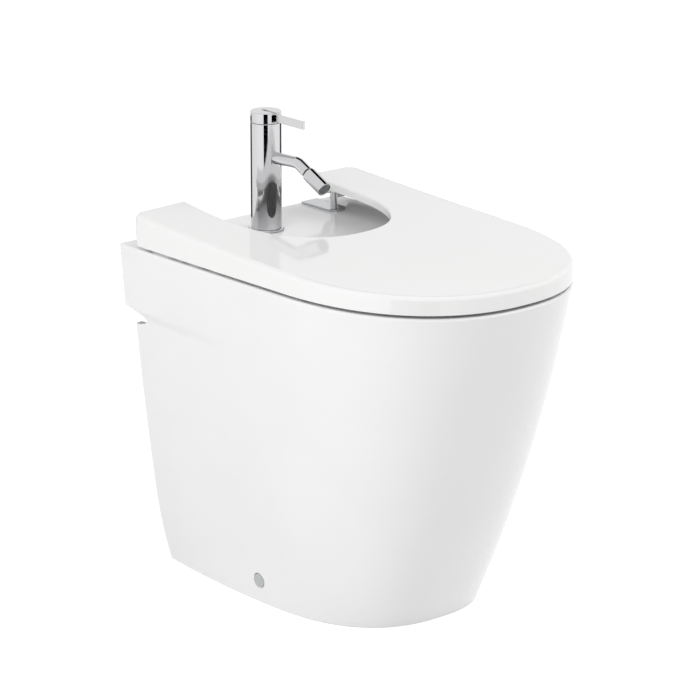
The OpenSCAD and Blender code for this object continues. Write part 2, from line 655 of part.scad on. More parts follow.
// ---- tap fixing under the deck ----
pad_t = 4;
washer_t = 2.5;
module horseshoe(r, h) difference() {
    cylinder(r = r, h = h);
    translate([0, 0, -cut]) hull() {
        cylinder(r = stud_r + 0.3, h = h + 2 * cut, $fn = 32);
        translate([0, -2 * r, 0]) cylinder(r = stud_r + 0.3, h = h + 2 * cut, $fn = 32);
    }
    both() translate([inlet_x, 2, -cut]) cylinder(r = way_r + 1, h = h + 2 * cut);
}
module tap_stud() color("silver") at_tap() translate([0, 0, under_deck - 50])
    cylinder(r = stud_r, h = col_z + 18 - under_deck + 50);
module clamp_pad() color("dimgray") at_tap() translate([0, 0, under_deck - pad_t]) horseshoe(24, pad_t);
module clamp_washer() color("silver") at_tap() translate([0, 0, under_deck - pad_t - washer_t]) horseshoe(23, washer_t);
module tap_nut() color("goldenrod") at_tap() translate([0, 0, under_deck - pad_t - washer_t - 14]) difference() {
    cylinder(r = 5.6, h = 14, $fn = 6);
    translate([0, 0, -cut]) cylinder(r = stud_r + 0.1, h = 14 + 2 * cut);
}

// ---- cover ----
lid_z = rim_h + lid_gap;
lid_back = wall_y - lid_wall;
lid_corner = 12;
edge_r = 6;                  // rounding of the cover's upper edge
cross_n = 8;                 // steps across the cover
// The top rises towards the wall ever faster, and so does its crown
function lid_top(x, y) = let (t = (y - front_tip) / depth)
    rim_h + lid_edge + lid_rise * t * t + lid_crown * t * (1 - pow(2 * x / width, 2));
// Right half of the cover's outline drawn in by i, from the back edge to the front tip
function lid_half(i) = let (
        w = width / 2 - i, q = (lid_back - nose_y0) / (wall_y - nose_y0),
        wb = w - block_draw * q * q, r = max(1, lid_corner - i), yc = lid_back - i - r)
    [
        for (a = [90 : -22.5 : 22.5]) [wb - r + r * cos(a), yc + r * sin(a)],
        for (s = [0 : 3]) let (t = 1 - s / 4) [w - block_draw * q * q * t * t, nose_y0 + t * (yc - nose_y0)],
        for (j = [0 : nose_n / 2]) let (a = 180 * j / nose_n)
            [w * spow(cos(a), 2 / nose_pow), nose_y0 - (nose_y0 - front_tip - i) * pow(sin(a), 2 / nose_pow)]
    ];
// Closed ring: left side from the back to the tip, right side, then the back edge
function lid_outline(i) = let (h = lid_half(i), m = len(h)) [
    for (k = [0 : m - 1]) [-h[k][0], h[k][1]],
    for (k = [m - 2 : -1 : 0]) h[k],
    for (j = [1 : cross_n - 1]) [h[0][0] * (1 - 2 * j / cross_n), h[0][1]]
];
// Solid with a flat underside at z0, a rounded edge and the crowned top lowered by drop
module crowned(i, z0, drop, r) {
    m = len(lid_half(i));
    n = 2 * m - 1 + cross_n - 1;
    steps = r > 0 ? [0, 30, 60, 90] : [90];
    rings = [
        [for (p = lid_outline(i)) [p[0], p[1], z0]],
        for (a = steps) [for (p = lid_outline(i + r * (1 - cos(a))))
            [p[0], p[1], lid_top(p[0], p[1]) - drop - r * (1 - sin(a))]]
    ];
    top = len(rings) - 1;
    h = lid_half(i + r);
    inner = [for (k = [1 : m - 2], j = [1 : cross_n - 1]) let (x = h[k][0] * (2 * j / cross_n - 1))
        [x, h[k][1], lid_top(x, h[k][1]) - drop]];
    // Index of the top point in row k and column j
    function at(k, j) = k == m - 1 ? top * n + m - 1
        : j == 0 ? top * n + k
        : j == cross_n ? top * n + 2 * m - 2 - k
        : k == 0 ? top * n + 2 * m - 2 + cross_n - j
        : (top + 1) * n + (k - 1) * (cross_n - 1) + j - 1;
    polyhedron(
        points = [for (g = rings) each g, each inner],
        faces = [
            [for (k = [0 : n - 1]) k],
            for (g = [0 : top - 1], k = [0 : n - 1]) let (a = g * n, b = a + n, l = (k + 1) % n)
                each [[a + k, b + k, b + l], [a + k, b + l, a + l]],
            for (k = [0 : m - 3], j = [0 : cross_n - 1])
                each [[at(k, j), at(k, j + 1), at(k + 1, j + 1)], [at(k, j), at(k + 1, j + 1), at(k + 1, j)]],
            for (j = [0 : cross_n - 1]) [at(m - 2, j), at(m - 2, j + 1), at(m - 1, 0)]
        ]);
}
cut_y = wall_y - cut_l;
cut_w = width - 2 * arm_w;
cut_pow = 2.3;               // 2 is an ellipse, more is squarer
cut_draw = 5.7;              // how far the cut-out's sides draw in towards the cover's back edge
function cut_outline(g) = let (
        w = cut_w / 2 + g, y0 = cut_y + cut_nose, yf = cut_y - g, n = 32,
        side = [for (t = [1.3, 1, 0.7, 0.4]) [w - cut_draw * t * t, y0 + t * (lid_back - y0)]])
    [
        for (p = side) [-p[0], p[1]],
        for (j = [0 : n]) let (a = 180 * j / n) [-w * spow(cos(a), 2 / cut_pow), y0 - (y0 - yf) * pow(sin(a), 2 / cut_pow)],
        for (k = [len(side) - 1 : -1 : 0]) side[k]
    ];
// Half-space above the edge of the cut-out lowered by d
module above(d) let (z0 = lid_top(cut_w / 2, cut_y), z1 = lid_top(cut_w / 2, lid_back))
    translate([0, cut_y, z0 - d]) rotate([atan((z1 - z0) / (lid_back - cut_y)), 0, 0])
    translate([-width, -100, 0]) cube([2 * width, depth + 200, 100]);
hinge_y = wall_y - hinge_wall;
hinge_z = rim_h + hinge_h;
shaft_r = shaft_d / 2;
knob_x = hinge_x + 25;       // inner face of the cover's hinge boss
knob_w = 8;
skirt_gate = knob_x - 1.5;   // half width of the gap in the back skirt
bumper_x = width / 2 - 17;
bumper_ys = [-60, 120];
bumper_stem_r = 2.5;
stem_up = 8;
module lid() color("white") difference() {
    crowned(0, lid_z, 0, edge_r);
    difference() {
        crowned(skirt_t, lid_z - cut, lid_t, 0);
        intersection() {
            translate([0, 0, lid_z - 10]) linear_extrude(100) polygon(cut_outline(4));
            above(band_h);
        }
        both() {
            translate([knob_x, hinge_y - 12, hinge_z - 10]) cube([knob_w, 40, 40]);
            for (y = bumper_ys) translate([bumper_x, y, lid_z - 2 * cut]) cylinder(r = bumper_stem_r + 4, h = 50);
        }
    }
    translate([0, 0, lid_z - 10]) linear_extrude(100) polygon(cut_outline(0));
    // The back skirt is cut away between the hinge bosses, and its lower edge is bevelled
    translate([-skirt_gate, lid_back - skirt_t - cut, lid_z - 10])
        cube([2 * skirt_gate, 20, lid_top(knob_x, lid_back) - band_h + 2 - lid_z + 10]);
    translate([0, lid_back, lid_z]) rotate([45, 0, 0]) cube([2 * width, 6, 6], center = true);
    both() {
        translate([knob_x - cut, hinge_y, hinge_z]) rotate([0, 90, 0]) cylinder(r = shaft_r, h = knob_w + 2 * cut);
        for (y = bumper_ys) translate([bumper_x, y, lid_z - cut]) cylinder(r = bumper_stem_r, h = stem_up + cut);
    }
}
module lid_bumpers() color("whitesmoke") both() for (y = bumper_ys) translate([bumper_x, y, 0]) {
    translate([0, 0, rim_h + seat_gap]) cylinder(d = bumper_d, h = lid_gap - seat_gap);
    translate([0, 0, lid_z - 0.5]) cylinder(r = bumper_stem_r, h = stem_up - 1);
}

// ---- hinges ----
plate_back = wall_y - 3;
plate_front = wall_y - 52;   // centre of the plate's round end
plate_z = rim_h + plate_t;
post_x = hinge_x - 5.5;
post_y = plate_front - 4.5;
post_top = hinge_z + 6;
socket_r = 6.5;              // half the width of the housing's socket for the post
socket_z = hinge_z - 1;
block_in = hinge_x - 3;      // inner face of the damper housing
block_out = knob_x - 4;
barrel_r = 8;
module hinge_plates() color("silver") both() difference() {
    translate([hinge_x, 0, rim_h]) union() {
        translate([0, plate_front, 0]) cylinder(d = plate_w, h = plate_t);
        translate([-plate_w / 2, plate_front, 0]) cube([plate_w, plate_back - plate_front, plate_t]);
    }
    translate([hinge_x, stud_y, rim_h - cut]) cylinder(r = bolt_r, h = plate_t + 2 * cut);
    translate([post_x, post_y, rim_h - cut]) cylinder(r = post_pin_r, h = plate_t + 2 * cut);
}
bolt_r = 4;
post_pin_r = 2.5;
module hinge_posts() color("silver") both() translate([post_x, post_y, rim_h]) union() {
    cylinder(r = post_pin_r, h = plate_t);
    translate([0, 0, plate_t]) cylinder(d = post_d, h = post_top - plate_z - 0.8);
    translate([0, 0, post_top - 0.8 - rim_h]) cylinder(d1 = post_d, d2 = post_d - 1.6, h = 0.8);
}
module hinge_blocks() color("white") both() difference() {
    union() {
        translate([block_in, hinge_y, hinge_z]) rotate([0, 90, 0]) cylinder(r = barrel_r, h = block_out - block_in);
        translate([post_x - socket_r, post_y - socket_r, socket_z])
            cube([2 * socket_r + 5, hinge_y - post_y + socket_r, barrel_r + 0.7]);
    }
    translate([post_x, post_y, plate_z - cut]) cylinder(d = post_d + 0.1, h = post_top + 0.5 - plate_z + cut);
    translate([block_in + 4, hinge_y, hinge_z]) rotate([0, 90, 0]) cylinder(r = shaft_r + run_gap, h = 40);
}
module damper_shafts() color("silver") both() translate([block_in + 5, hinge_y, hinge_z]) rotate([0, 90, 0])
    cylinder(r = shaft_r, h = knob_x + knob_w - block_in - 5);
cone_h = 10;
module hinge_studs() color("silver") both() translate([hinge_x, stud_y, 0]) union() {
    translate([0, 0, under_deck - 32]) cylinder(r = bolt_r, h = plate_z - 0.3 - under_deck + 32);
}
module hinge_cones() color("dimgray") both() translate([hinge_x, stud_y, under_deck - 6]) difference() {
    union() {
        cylinder(r = 12, h = 6);
        translate([0, 0, 6]) cylinder(r1 = stud_hole_r - 0.1, r2 = stud_hole_r - 1.5, h = cone_h - 4);
    }
    translate([0, 0, -cut]) cylinder(r = bolt_r + 0.1, h = 20);
}
module hinge_nuts() color("gainsboro") both() translate([hinge_x, stud_y, under_deck - 6 - 14]) difference() {
    union() {
        cylinder(r = 9, h = 14);
        for (a = [0, 180]) rotate([0, 0, a]) translate([6, -2, 0]) cube([14, 4, 10]);
    }
    translate([0, 0, -cut]) cylinder(r = bolt_r + 0.1, h = 20);
}

ceramic_body();
floor_angles();
angle_nuts();
side_sleeves();
side_screws();
side_caps();
waste_flange();
flange_gasket();
waste_body();
cone_gasket();
waste_nut();
click_cartridge();
click_spring();
plug_stem();
waste_plug();
plug_seal();
trap_nut();
trap_seal();
trap_tube();
trap_body();
trap_cup();
cup_seal();
outlet_nut();
outlet_seal();
outlet_pipe();
tap_body();
tap_base_ring();
tap_base_seal();
tap_spout();
swivel_ball();
swivel_seat();
swivel_ring();
nozzle();
aerator();
aerator_seal();
cartridge();
cartridge_nut();
cartridge_stem();
handle_cap();
handle_lever();
handle_screw();
handle_plug();
tap_stud();
clamp_pad();
clamp_washer();
tap_nut();
lid();
lid_bumpers();
hinge_plates();
hinge_posts();
hinge_blocks();
damper_shafts();
hinge_studs();
hinge_cones();
hinge_nuts();
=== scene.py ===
"""Floor standing bidet with its cut-out cover and mixer tap, dressed for the render."""
import math

import bmesh
import bpy
from mathutils import Matrix, Vector


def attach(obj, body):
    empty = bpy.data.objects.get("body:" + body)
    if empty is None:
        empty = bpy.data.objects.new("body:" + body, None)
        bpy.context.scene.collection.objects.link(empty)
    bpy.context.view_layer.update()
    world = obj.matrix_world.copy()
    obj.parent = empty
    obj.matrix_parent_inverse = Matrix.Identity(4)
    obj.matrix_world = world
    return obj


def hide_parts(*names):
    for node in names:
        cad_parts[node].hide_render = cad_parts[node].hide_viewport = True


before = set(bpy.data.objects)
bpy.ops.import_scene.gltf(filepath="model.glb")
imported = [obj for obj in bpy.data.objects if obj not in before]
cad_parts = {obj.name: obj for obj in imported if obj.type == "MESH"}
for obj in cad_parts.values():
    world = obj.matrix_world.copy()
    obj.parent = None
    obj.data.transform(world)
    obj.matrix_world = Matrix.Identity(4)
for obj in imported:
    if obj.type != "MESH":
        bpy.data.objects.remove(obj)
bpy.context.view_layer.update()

scene = bpy.context.scene
scene.view_settings.view_transform = "Standard"
bpy.ops.object.select_all(action="DESELECT")

# ---------------------------------------------------------------------------
# China body: one casting of vitreous china, slip cast hollow with an open back
# and underside, then glazed white and fired. The bowl hangs in it from the deck.
# ---------------------------------------------------------------------------
MM = 0.001
WIDTH, FRONT_Y, WALL_Y = 360, -265, 265
RIM_Z, DECK_T, CHINA_WALL = 420, 14, 12
# The block at the wall ends at BLOCK_Z, and the shroud below it has drawn in by STEP_Z
BLOCK_Z, STEP_Z, WALL_GAP = 341, 325, 10
SIDE_TAPER, FRONT_TAPER = 49, 134
# Where the rounded front starts at the rim, how much further back at the floor, and how square it is
NOSE_Y, NOSE_SHIFT, NOSE_POWER = -43, 77, 2.27
# How far the flanks draw in towards the wall: the block, the shroud, and what the shroud adds
# from height DRAW_Z down to the floor
BLOCK_DRAW, LOWER_DRAW, FLOOR_DRAW, DRAW_Z = 2.5, 9, 8, 100
CORNER_R, RIM_R, FOOT_R = 3, 3, 2.5
FLANK_STEPS, NOSE_STEPS = 16, 48


def spow(value, power):
    """A power that keeps the sign, for the squared ovals of the plan."""
    return math.copysign(abs(value) ** power, value)


def taper(z):
    """Share of the taper at height z: 0 at the rim and about 1 at the floor."""
    t = 1 - z / RIM_Z
    return 0.66 * t + 0.40 * t * t


def ease(a, b, x):
    """0 below a, 1 above b and a soft step between them."""
    t = min(1, max(0, (x - a) / (b - a)))
    return t * t * (3 - 2 * t)


def draw_in(z):
    """How far each flank has drawn in where it meets the wall, at height z."""
    low = LOWER_DRAW + FLOOR_DRAW * max(0, 1 - z / DRAW_Z) ** 2
    return low + (BLOCK_DRAW - low) * ease(STEP_Z, BLOCK_Z, z)


def china_half(z, inset, back):
    """Right half of the plan outline at height z, from the wall to the front tip."""
    w = WIDTH / 2 - SIDE_TAPER * taper(z) - inset
    k = draw_in(z)
    y0 = NOSE_Y + NOSE_SHIFT * taper(z)
    yf = FRONT_Y + FRONT_TAPER * taper(z) + inset
    n = NOSE_POWER + 0.2 * taper(z)
    r = CORNER_R
    points = [(w - k - r + r * math.sin(a), back - r + r * math.cos(a)) for a in (0, 0.4, 0.8, 1.2)]
    for s in range(FLANK_STEPS + 1):
        q = 1 - s / FLANK_STEPS
        points.append((w - k * q * q, y0 + q * (back - r - y0)))
    for j in range(1, NOSE_STEPS + 1):
        a = math.pi * j / (2 * NOSE_STEPS)
        points.append((w * spow(math.cos(a), 2 / n), y0 - (y0 - yf) * math.sin(a) ** (2 / n)))
    return points


def china_ring(z, inset=0.0, back=WALL_Y, height=None):
    """Whole outline at height z, drawn in by inset, and set at another height where one is given."""
    half = china_half(z, inset, back)
    level = z if height is None else height
    left = [(-x, y, level) for x, y in half]
    return left + [(x, y, level) for x, y in reversed(half[:-1])]


def loft(name, rings):
    """A closed skin: a filled circle is extruded once for each ring, and its points move to it."""
    bpy.ops.object.select_all(action="DESELECT")
    count = len(rings[0])
    bpy.ops.mesh.primitive_circle_add(vertices=count, radius=1, fill_type="NGON")
    piece = bpy.context.object
    piece.name = name
    bpy.ops.object.mode_set(mode="EDIT")
    mesh = bmesh.from_edit_mesh(piece.data)
    mesh.verts.ensure_lookup_table()
    ring = list(mesh.verts)
    for vert, point in zip(ring, rings[0]):
        vert.co = Vector(point) * MM
    bpy.ops.mesh.select_all(action="SELECT")
    for points in rings[1:]:
        bpy.ops.mesh.extrude_region()
        mesh = bmesh.from_edit_mesh(piece.data)
        above = [next(edge.other_vert(vert) for edge in vert.link_edges
                      if edge.other_vert(vert).select and not vert.select) for vert in ring]
        for vert, point in zip(above, points):
            vert.co = Vector(point) * MM
        ring = above
    bpy.ops.mesh.select_all(action="SELECT")
    bpy.ops.mesh.normals_make_consistent(inside=False)
    bpy.ops.object.mode_set(mode="OBJECT")
    return piece


def cut(piece, tool, operation="DIFFERENCE"):
    """Cuts tool out of piece, or adds it, and removes tool."""
    bpy.ops.object.select_all(action="DESELECT")
    bpy.context.view_layer.objects.active = piece
    piece.select_set(True)
    step = piece.modifiers.new("cut", "BOOLEAN")
    step.operation, step.solver, step.object = operation, "EXACT", tool
    bpy.ops.object.modifier_apply(modifier=step.name)
    bpy.data.objects.remove(tool)


def smooth(piece, degrees=35):
    """Smooth shading that keeps sharp edges, with flat faces left flat."""
    bpy.ops.object.select_all(action="DESELECT")
    bpy.context.view_layer.objects.active = piece
    piece.select_set(True)
    bpy.ops.object.shade_smooth_by_angle(angle=math.radians(degrees))
    step = piece.modifiers.new("flat", "WEIGHTED_NORMAL")
    step.keep_sharp = True
    step.weight = 100
    bpy.ops.object.modifier_apply(modifier=step.name)


def rounding(radius, steps):
    """(inset, drop) of each step of a rounded upper edge, from its side to its top."""
    turns = [math.pi / 2 * k / steps for k in range(steps + 1)]
    return [(radius * (1 - math.cos(a)), radius * (1 - math.sin(a))) for a in turns]


foot = [china_ring(drop, inset, WALL_Y - WALL_GAP) for inset, drop in reversed(rounding(FOOT_R, 4))]
levels = [8, 16, 26, 38, 50, 65, 80, 96, 112, 130, 150, 170, 190, 210, 230, 250, 270, 290, 305, 316]
flank = [china_ring(z, 0, WALL_Y - WALL_GAP) for z in levels]
flank += [china_ring(z, 0, WALL_Y - WALL_GAP * (1 - ease(STEP_Z, BLOCK_Z, z)))
          for z in (STEP_Z, 327, 329.5, 332, 334.5, 337, 339, BLOCK_Z)]
flank += [china_ring(z) for z in (350, 362, 376, 390, 404)]
rim = [china_ring(RIM_Z, inset, WALL_Y, RIM_Z - drop) for inset, drop in rounding(RIM_R, 6)]
# The last ring lies just inside the rounded edge, and the flat top fills it
china_body = loft("china_body", foot + flank + rim + [china_ring(RIM_Z, 4, WALL_Y - 1)])

# The hollow inside the shroud runs out past the wall, so it is open at the back
BEYOND = WALL_Y + 20
hollow = loft("hollow", [china_ring(z, CHINA_WALL, BEYOND) for z in
                         (-1, 40, 80, 120, 165, 210, 255, 295, STEP_Z, BLOCK_Z)]
              + [china_ring(RIM_Z - DECK_T, CHINA_WALL, BEYOND)])
# The bowl widens from the waste's seat to an oval at the rim
WASTE_Y = 10
BOWL_Z, BOWL_D, LIP_R = 285, 135, 5
SEAT_R, BOWL_W, BOWL_FRONT, BOWL_END = 40, 146, -231, 105
BOWL_POINTS = 120


def bowl_ring(f, grow, z):
    """Ring of the bowl at share f of its widening, from the waste's seat to the rim."""
    w = SEAT_R + (BOWL_W - SEAT_R) * f + grow
    y1 = WASTE_Y + SEAT_R + (BOWL_END - WASTE_Y - SEAT_R) * f + grow
    y0 = WASTE_Y - SEAT_R + (BOWL_FRONT - WASTE_Y + SEAT_R) * f - grow
    n = 2 + 0.3 * f
    middle, reach = (y0 + y1) / 2, (y1 - y0) / 2
    turns = [2 * math.pi * j / BOWL_POINTS for j in range(BOWL_POINTS)]
    return [(w * spow(math.cos(a), 2 / n), middle + reach * spow(math.sin(a), 2 / n), z) for a in turns]


def bowl_wall(degrees, grow, base):
    """Ring of the bowl's curved wall: 0 degrees at its flat floor, 90 at its upright edge."""
    a = math.radians(degrees)
    return bowl_ring(math.sin(a) ** 0.8, grow, base + (BOWL_D - 8) * (1 - math.cos(a) ** 0.9))


# The hollow leaves the bowl's own wall standing in it
under_bowl = BOWL_Z - CHINA_WALL
bowl_shell = loft("bowl_shell", [bowl_ring(0, 7, under_bowl)]
                  + [bowl_wall(d, CHINA_WALL, under_bowl) for d in (8, 16, 24, 32, 40, 50, 60, 70)]
                  + [bowl_ring(1, CHINA_WALL, RIM_Z - DECK_T + rise) for rise in (-20, 1)])
cut(hollow, bowl_shell)
# A boss stands in each flank for the screw that fixes the china to the floor
FIX_Y, FIX_Z, BOSS_X = 57, 31, 112.23
BOSS_HALF, BOSS_TOP = 22, 58


def block(name, low, high, bevel=0.0):
    """A squared block from corner to corner, in millimetres, with its edges rounded by bevel."""
    bpy.ops.object.select_all(action="DESELECT")
    centre = [(a + b) / 2 * MM for a, b in zip(low, high)]
    bpy.ops.mesh.primitive_cube_add(size=1, location=centre)
    piece = bpy.context.object
    piece.name = name
    piece.scale = [(b - a) * MM for a, b in zip(low, high)]
    bpy.ops.object.transform_apply(location=True, rotation=True, scale=True)
    if bevel:
        bpy.ops.object.mode_set(mode="EDIT")
        bpy.ops.mesh.select_all(action="SELECT")
        bpy.ops.mesh.bevel(offset=bevel * MM, segments=3, profile=0.5)
        bpy.ops.object.mode_set(mode="OBJECT")
    return piece


for side in (-1, 1):
    xs = sorted((side * BOSS_X, side * (WIDTH / 2 + 32)))
    cut(hollow, block("boss", (xs[0], FIX_Y - BOSS_HALF, -2), (xs[1], FIX_Y + BOSS_HALF, BOSS_TOP), 4))
cut(china_body, hollow)
bowl_lip = [bowl_ring(1, LIP_R * (1 - math.cos(a)), RIM_Z - LIP_R + LIP_R * math.sin(a))
            for a in (0, 0.25, 0.5, 0.75, 1.0, 1.25, 1.45)]
bowl_space = loft("bowl_space", [bowl_ring(0, 0, BOWL_Z)]
                  + [bowl_wall(d, 0, BOWL_Z) for d in (6, 12, 18, 25, 32, 40, 48, 55, 62, 70, 76, 82)]
                  + [bowl_ring(1, 0, RIM_Z - 8)] + bowl_lip + [bowl_ring(1, LIP_R + 1, RIM_Z + 1)])
cut(china_body, bowl_space)


def circle(radius, z, frame_matrix, count=96):
    """Ring of a turned piece: radius at height z in its own frame."""
    turns = [2 * math.pi * j / count for j in range(count)]
    return [frame_matrix @ Vector((radius * math.cos(a), radius * math.sin(a), z)) for a in turns]


def turned(name, profile, frame_matrix, count=96):
    """A piece turned to a profile of (radius, height) points along its axis."""
    return loft(name, [circle(r, z, frame_matrix, count) for r, z in profile])


def upright(x, y):
    """Frame of a piece that stands on end at x, y."""
    return Matrix.Translation((x, y, 0))


def outward(side, x, y, z):
    """Frame of a piece that lies across the object and points away from its middle on that side."""
    return Matrix.Translation((side * x, y, z)) @ Matrix.Rotation(side * math.pi / 2, 4, "Y")


def bore(name, radius, low, high, frame_matrix, count=96):
    """A plain round cutter from low to high along its axis."""
    return turned(name, [(radius, low), (radius, high)], frame_matrix, count)


# The holes, and the pocket that each side cap is pushed into
TAP_Y, PLATE_X, STUD_Y = 197.5, 125, 235
WASTE_HOLE_R, TAP_HOLE_R, STUD_HOLE_R, SLEEVE_R = 24, 17.5, 7, 5.2
CAP_R, CAP_BED_X = 9.2, 123.23
cut(china_body, bore("waste_hole", WASTE_HOLE_R, BOWL_Z - 24, BOWL_Z + 12, upright(0, WASTE_Y)))
cut(china_body, bore("tap_hole", TAP_HOLE_R, RIM_Z - 20, RIM_Z + 2, upright(0, TAP_Y)))
for side in (-1, 1):
    stud_place = upright(side * PLATE_X, STUD_Y)
    cut(china_body, bore("stud_hole", STUD_HOLE_R, RIM_Z - 20, RIM_Z + 2, stud_place, 48))
    sideways = outward(side, 0, FIX_Y, FIX_Z)
    cut(china_body, bore("sleeve_hole", SLEEVE_R, BOSS_X - 1, BOSS_X + 39, sideways, 48))
    cut(china_body, bore("cap_pocket", CAP_R + 0.4, CAP_BED_X, CAP_BED_X + 40, sideways, 64))
# The notch under the back block lets the pipes past: (distance from the wall, drop below the rim)
NOTCH = [(-10, 78), (0, 78), (14, 80.5), (24, 84), (32, 88), (36, 92), (35, 96), (30, 99), (20, 101),
         (-10, 102)]
notch = loft("notch", [[(x, WALL_Y - y, RIM_Z - z) for y, z in NOTCH] for x in (-WIDTH, WIDTH)])
cut(china_body, notch)
smooth(china_body, 32)


def linear(code):
    """An sRGB hex colour as linear light with alpha."""
    parts = [int(code[k:k + 2], 16) / 255 for k in (1, 3, 5)]
    return [c / 12.92 if c <= 0.04045 else ((c + 0.055) / 1.055) ** 2.4 for c in parts] + [1.0]


def add(tree, kind, settings=None, inputs=None, links=None):
    """Adds a node with its settings, its socket values and its links: {socket: (node, output)}."""
    made = tree.nodes.new(kind)
    for key, value in (settings or {}).items():
        setattr(made, key, value)
    for key, value in (inputs or {}).items():
        made.inputs[key].default_value = value
    for key, (source, output) in (links or {}).items():
        tree.links.new(source.outputs[output], made.inputs[key])
    return made


def new_material(name, colour, roughness, metallic=0.0, ior=1.5, **more):
    """A named material with its Principled shader, ready for its pattern."""
    made = bpy.data.materials.new(name)
    made.use_nodes = True
    shader = made.node_tree.nodes["Principled BSDF"]
    shader.inputs["Base Color"].default_value = linear(colour)
    shader.inputs["Roughness"].default_value = roughness
    shader.inputs["Metallic"].default_value = metallic
    if not metallic:
        shader.inputs["IOR"].default_value = ior
    for key, value in more.items():
        shader.inputs[key.replace("_", " ")].default_value = value
    return made


def tone(material, light, dark, size_mm, detail=3):
    """Base colour that drifts between two tones over about size_mm."""
    tree = material.node_tree
    place = add(tree, "ShaderNodeTexCoord")
    drift = add(tree, "ShaderNodeTexNoise", inputs={"Scale": 1000 / size_mm, "Detail": detail},
                links={"Vector": (place, "Object")})
    ramp = add(tree, "ShaderNodeValToRGB", links={"Fac": (drift, "Fac")})
    ramp.color_ramp.elements[0].position, ramp.color_ramp.elements[0].color = 0.3, linear(dark)
    ramp.color_ramp.elements[1].position, ramp.color_ramp.elements[1].color = 0.7, linear(light)
    tree.links.new(ramp.outputs["Color"], tree.nodes["Principled BSDF"].inputs["Base Color"])


def relief(material, size_mm, depth_mm, detail=2, roughness=None):
    """Bump of depth_mm over about size_mm, and roughness that varies with it between two values."""
    tree = material.node_tree
    place = add(tree, "ShaderNodeTexCoord")
    wave = add(tree, "ShaderNodeTexNoise", inputs={"Scale": 1000 / size_mm, "Detail": detail},
               links={"Vector": (place, "Object")})
    bump = add(tree, "ShaderNodeBump", inputs={"Strength": 1.0, "Distance": depth_mm * MM},
               links={"Height": (wave, "Fac")})
    shader = tree.nodes["Principled BSDF"]
    tree.links.new(bump.outputs["Normal"], shader.inputs["Normal"])
    if roughness:
        spread = add(tree, "ShaderNodeMapRange", inputs={"To Min": roughness[0], "To Max": roughness[1]},
                     links={"Value": (wave, "Fac")})
        tree.links.new(spread.outputs["Result"], shader.inputs["Roughness"])


def wear(piece, material, body, slot, *nodes):
    """Gives a finished piece its material, its body and the CAD nodes it stands for, which it hides. The
    record slot is not used.
    """
    piece.data.materials.clear()
    piece.data.materials.append(material)
    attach(piece, body)
    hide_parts(*nodes)


# Vitreous china under a fired tin-white glaze: an even neutral white, wet gloss, and the very
# shallow ripple that a glaze keeps where it flowed.
white_glaze = new_material("white_glaze", "#F3F3F3", 0.08, ior=1.52)
tone(white_glaze, "#F4F4F4", "#F1F1F1", 140)
relief(white_glaze, 45, 0.02, 1, (0.06, 0.11))
wear(china_body, white_glaze, "bidet", "glazed_china", "ceramic_body")

# ---------------------------------------------------------------------------
# Cover: compression moulded urea resin, high gloss white. A crowned shell with a skirt all
# round, its top cut out from the back so that it closes round the tap.
# ---------------------------------------------------------------------------
LID_Z, LID_BACK, LID_CORNER = 424, 238, 12
# Height of the top above the rim at the front tip, its rise to the wall, and its crown across
LID_EDGE, LID_RISE, LID_CROWN = 26.5, 18.5, 2.5
# The cut-out: its half width, where its round front starts and ends, its squareness, and how far
# its arms and their corners draw in at the back
CUT_HALF, CUT_START, CUT_Y, CUT_POW, CUT_DRAW, CUT_CORNER = 102.5, 150, 20, 2.3, 5.7, 4
# Thickness of the top, of the skirt and of the band round the cut-out, and the band's height
LID_T, SKIRT_T, BAND_T, BAND_H = 4, 5, 4, 10
EDGE_R, CUT_R = 6, 2.6
# The hinge bosses: where across the cover, and their lowest and highest corners along and up
HINGE_BOSS_X, HINGE_BOSS_W = 150, 8
HINGE_BOSS_LOW, HINGE_BOSS_HIGH = (213, 437), (234.5, 459.6)
CUT_STEPS, ARM_STEPS, BACK_STEPS, SIDE_STEPS, TIP_STEPS, EDGE_STEPS = 60, 12, 8, 24, 64, 8


def lid_top(x, y):
    """Height of the crowned top over a point of the plan."""
    t = (y - FRONT_Y) / (WALL_Y - FRONT_Y)
    return RIM_Z + LID_EDGE + LID_RISE * t * t + LID_CROWN * t * (1 - (2 * x / WIDTH) ** 2)


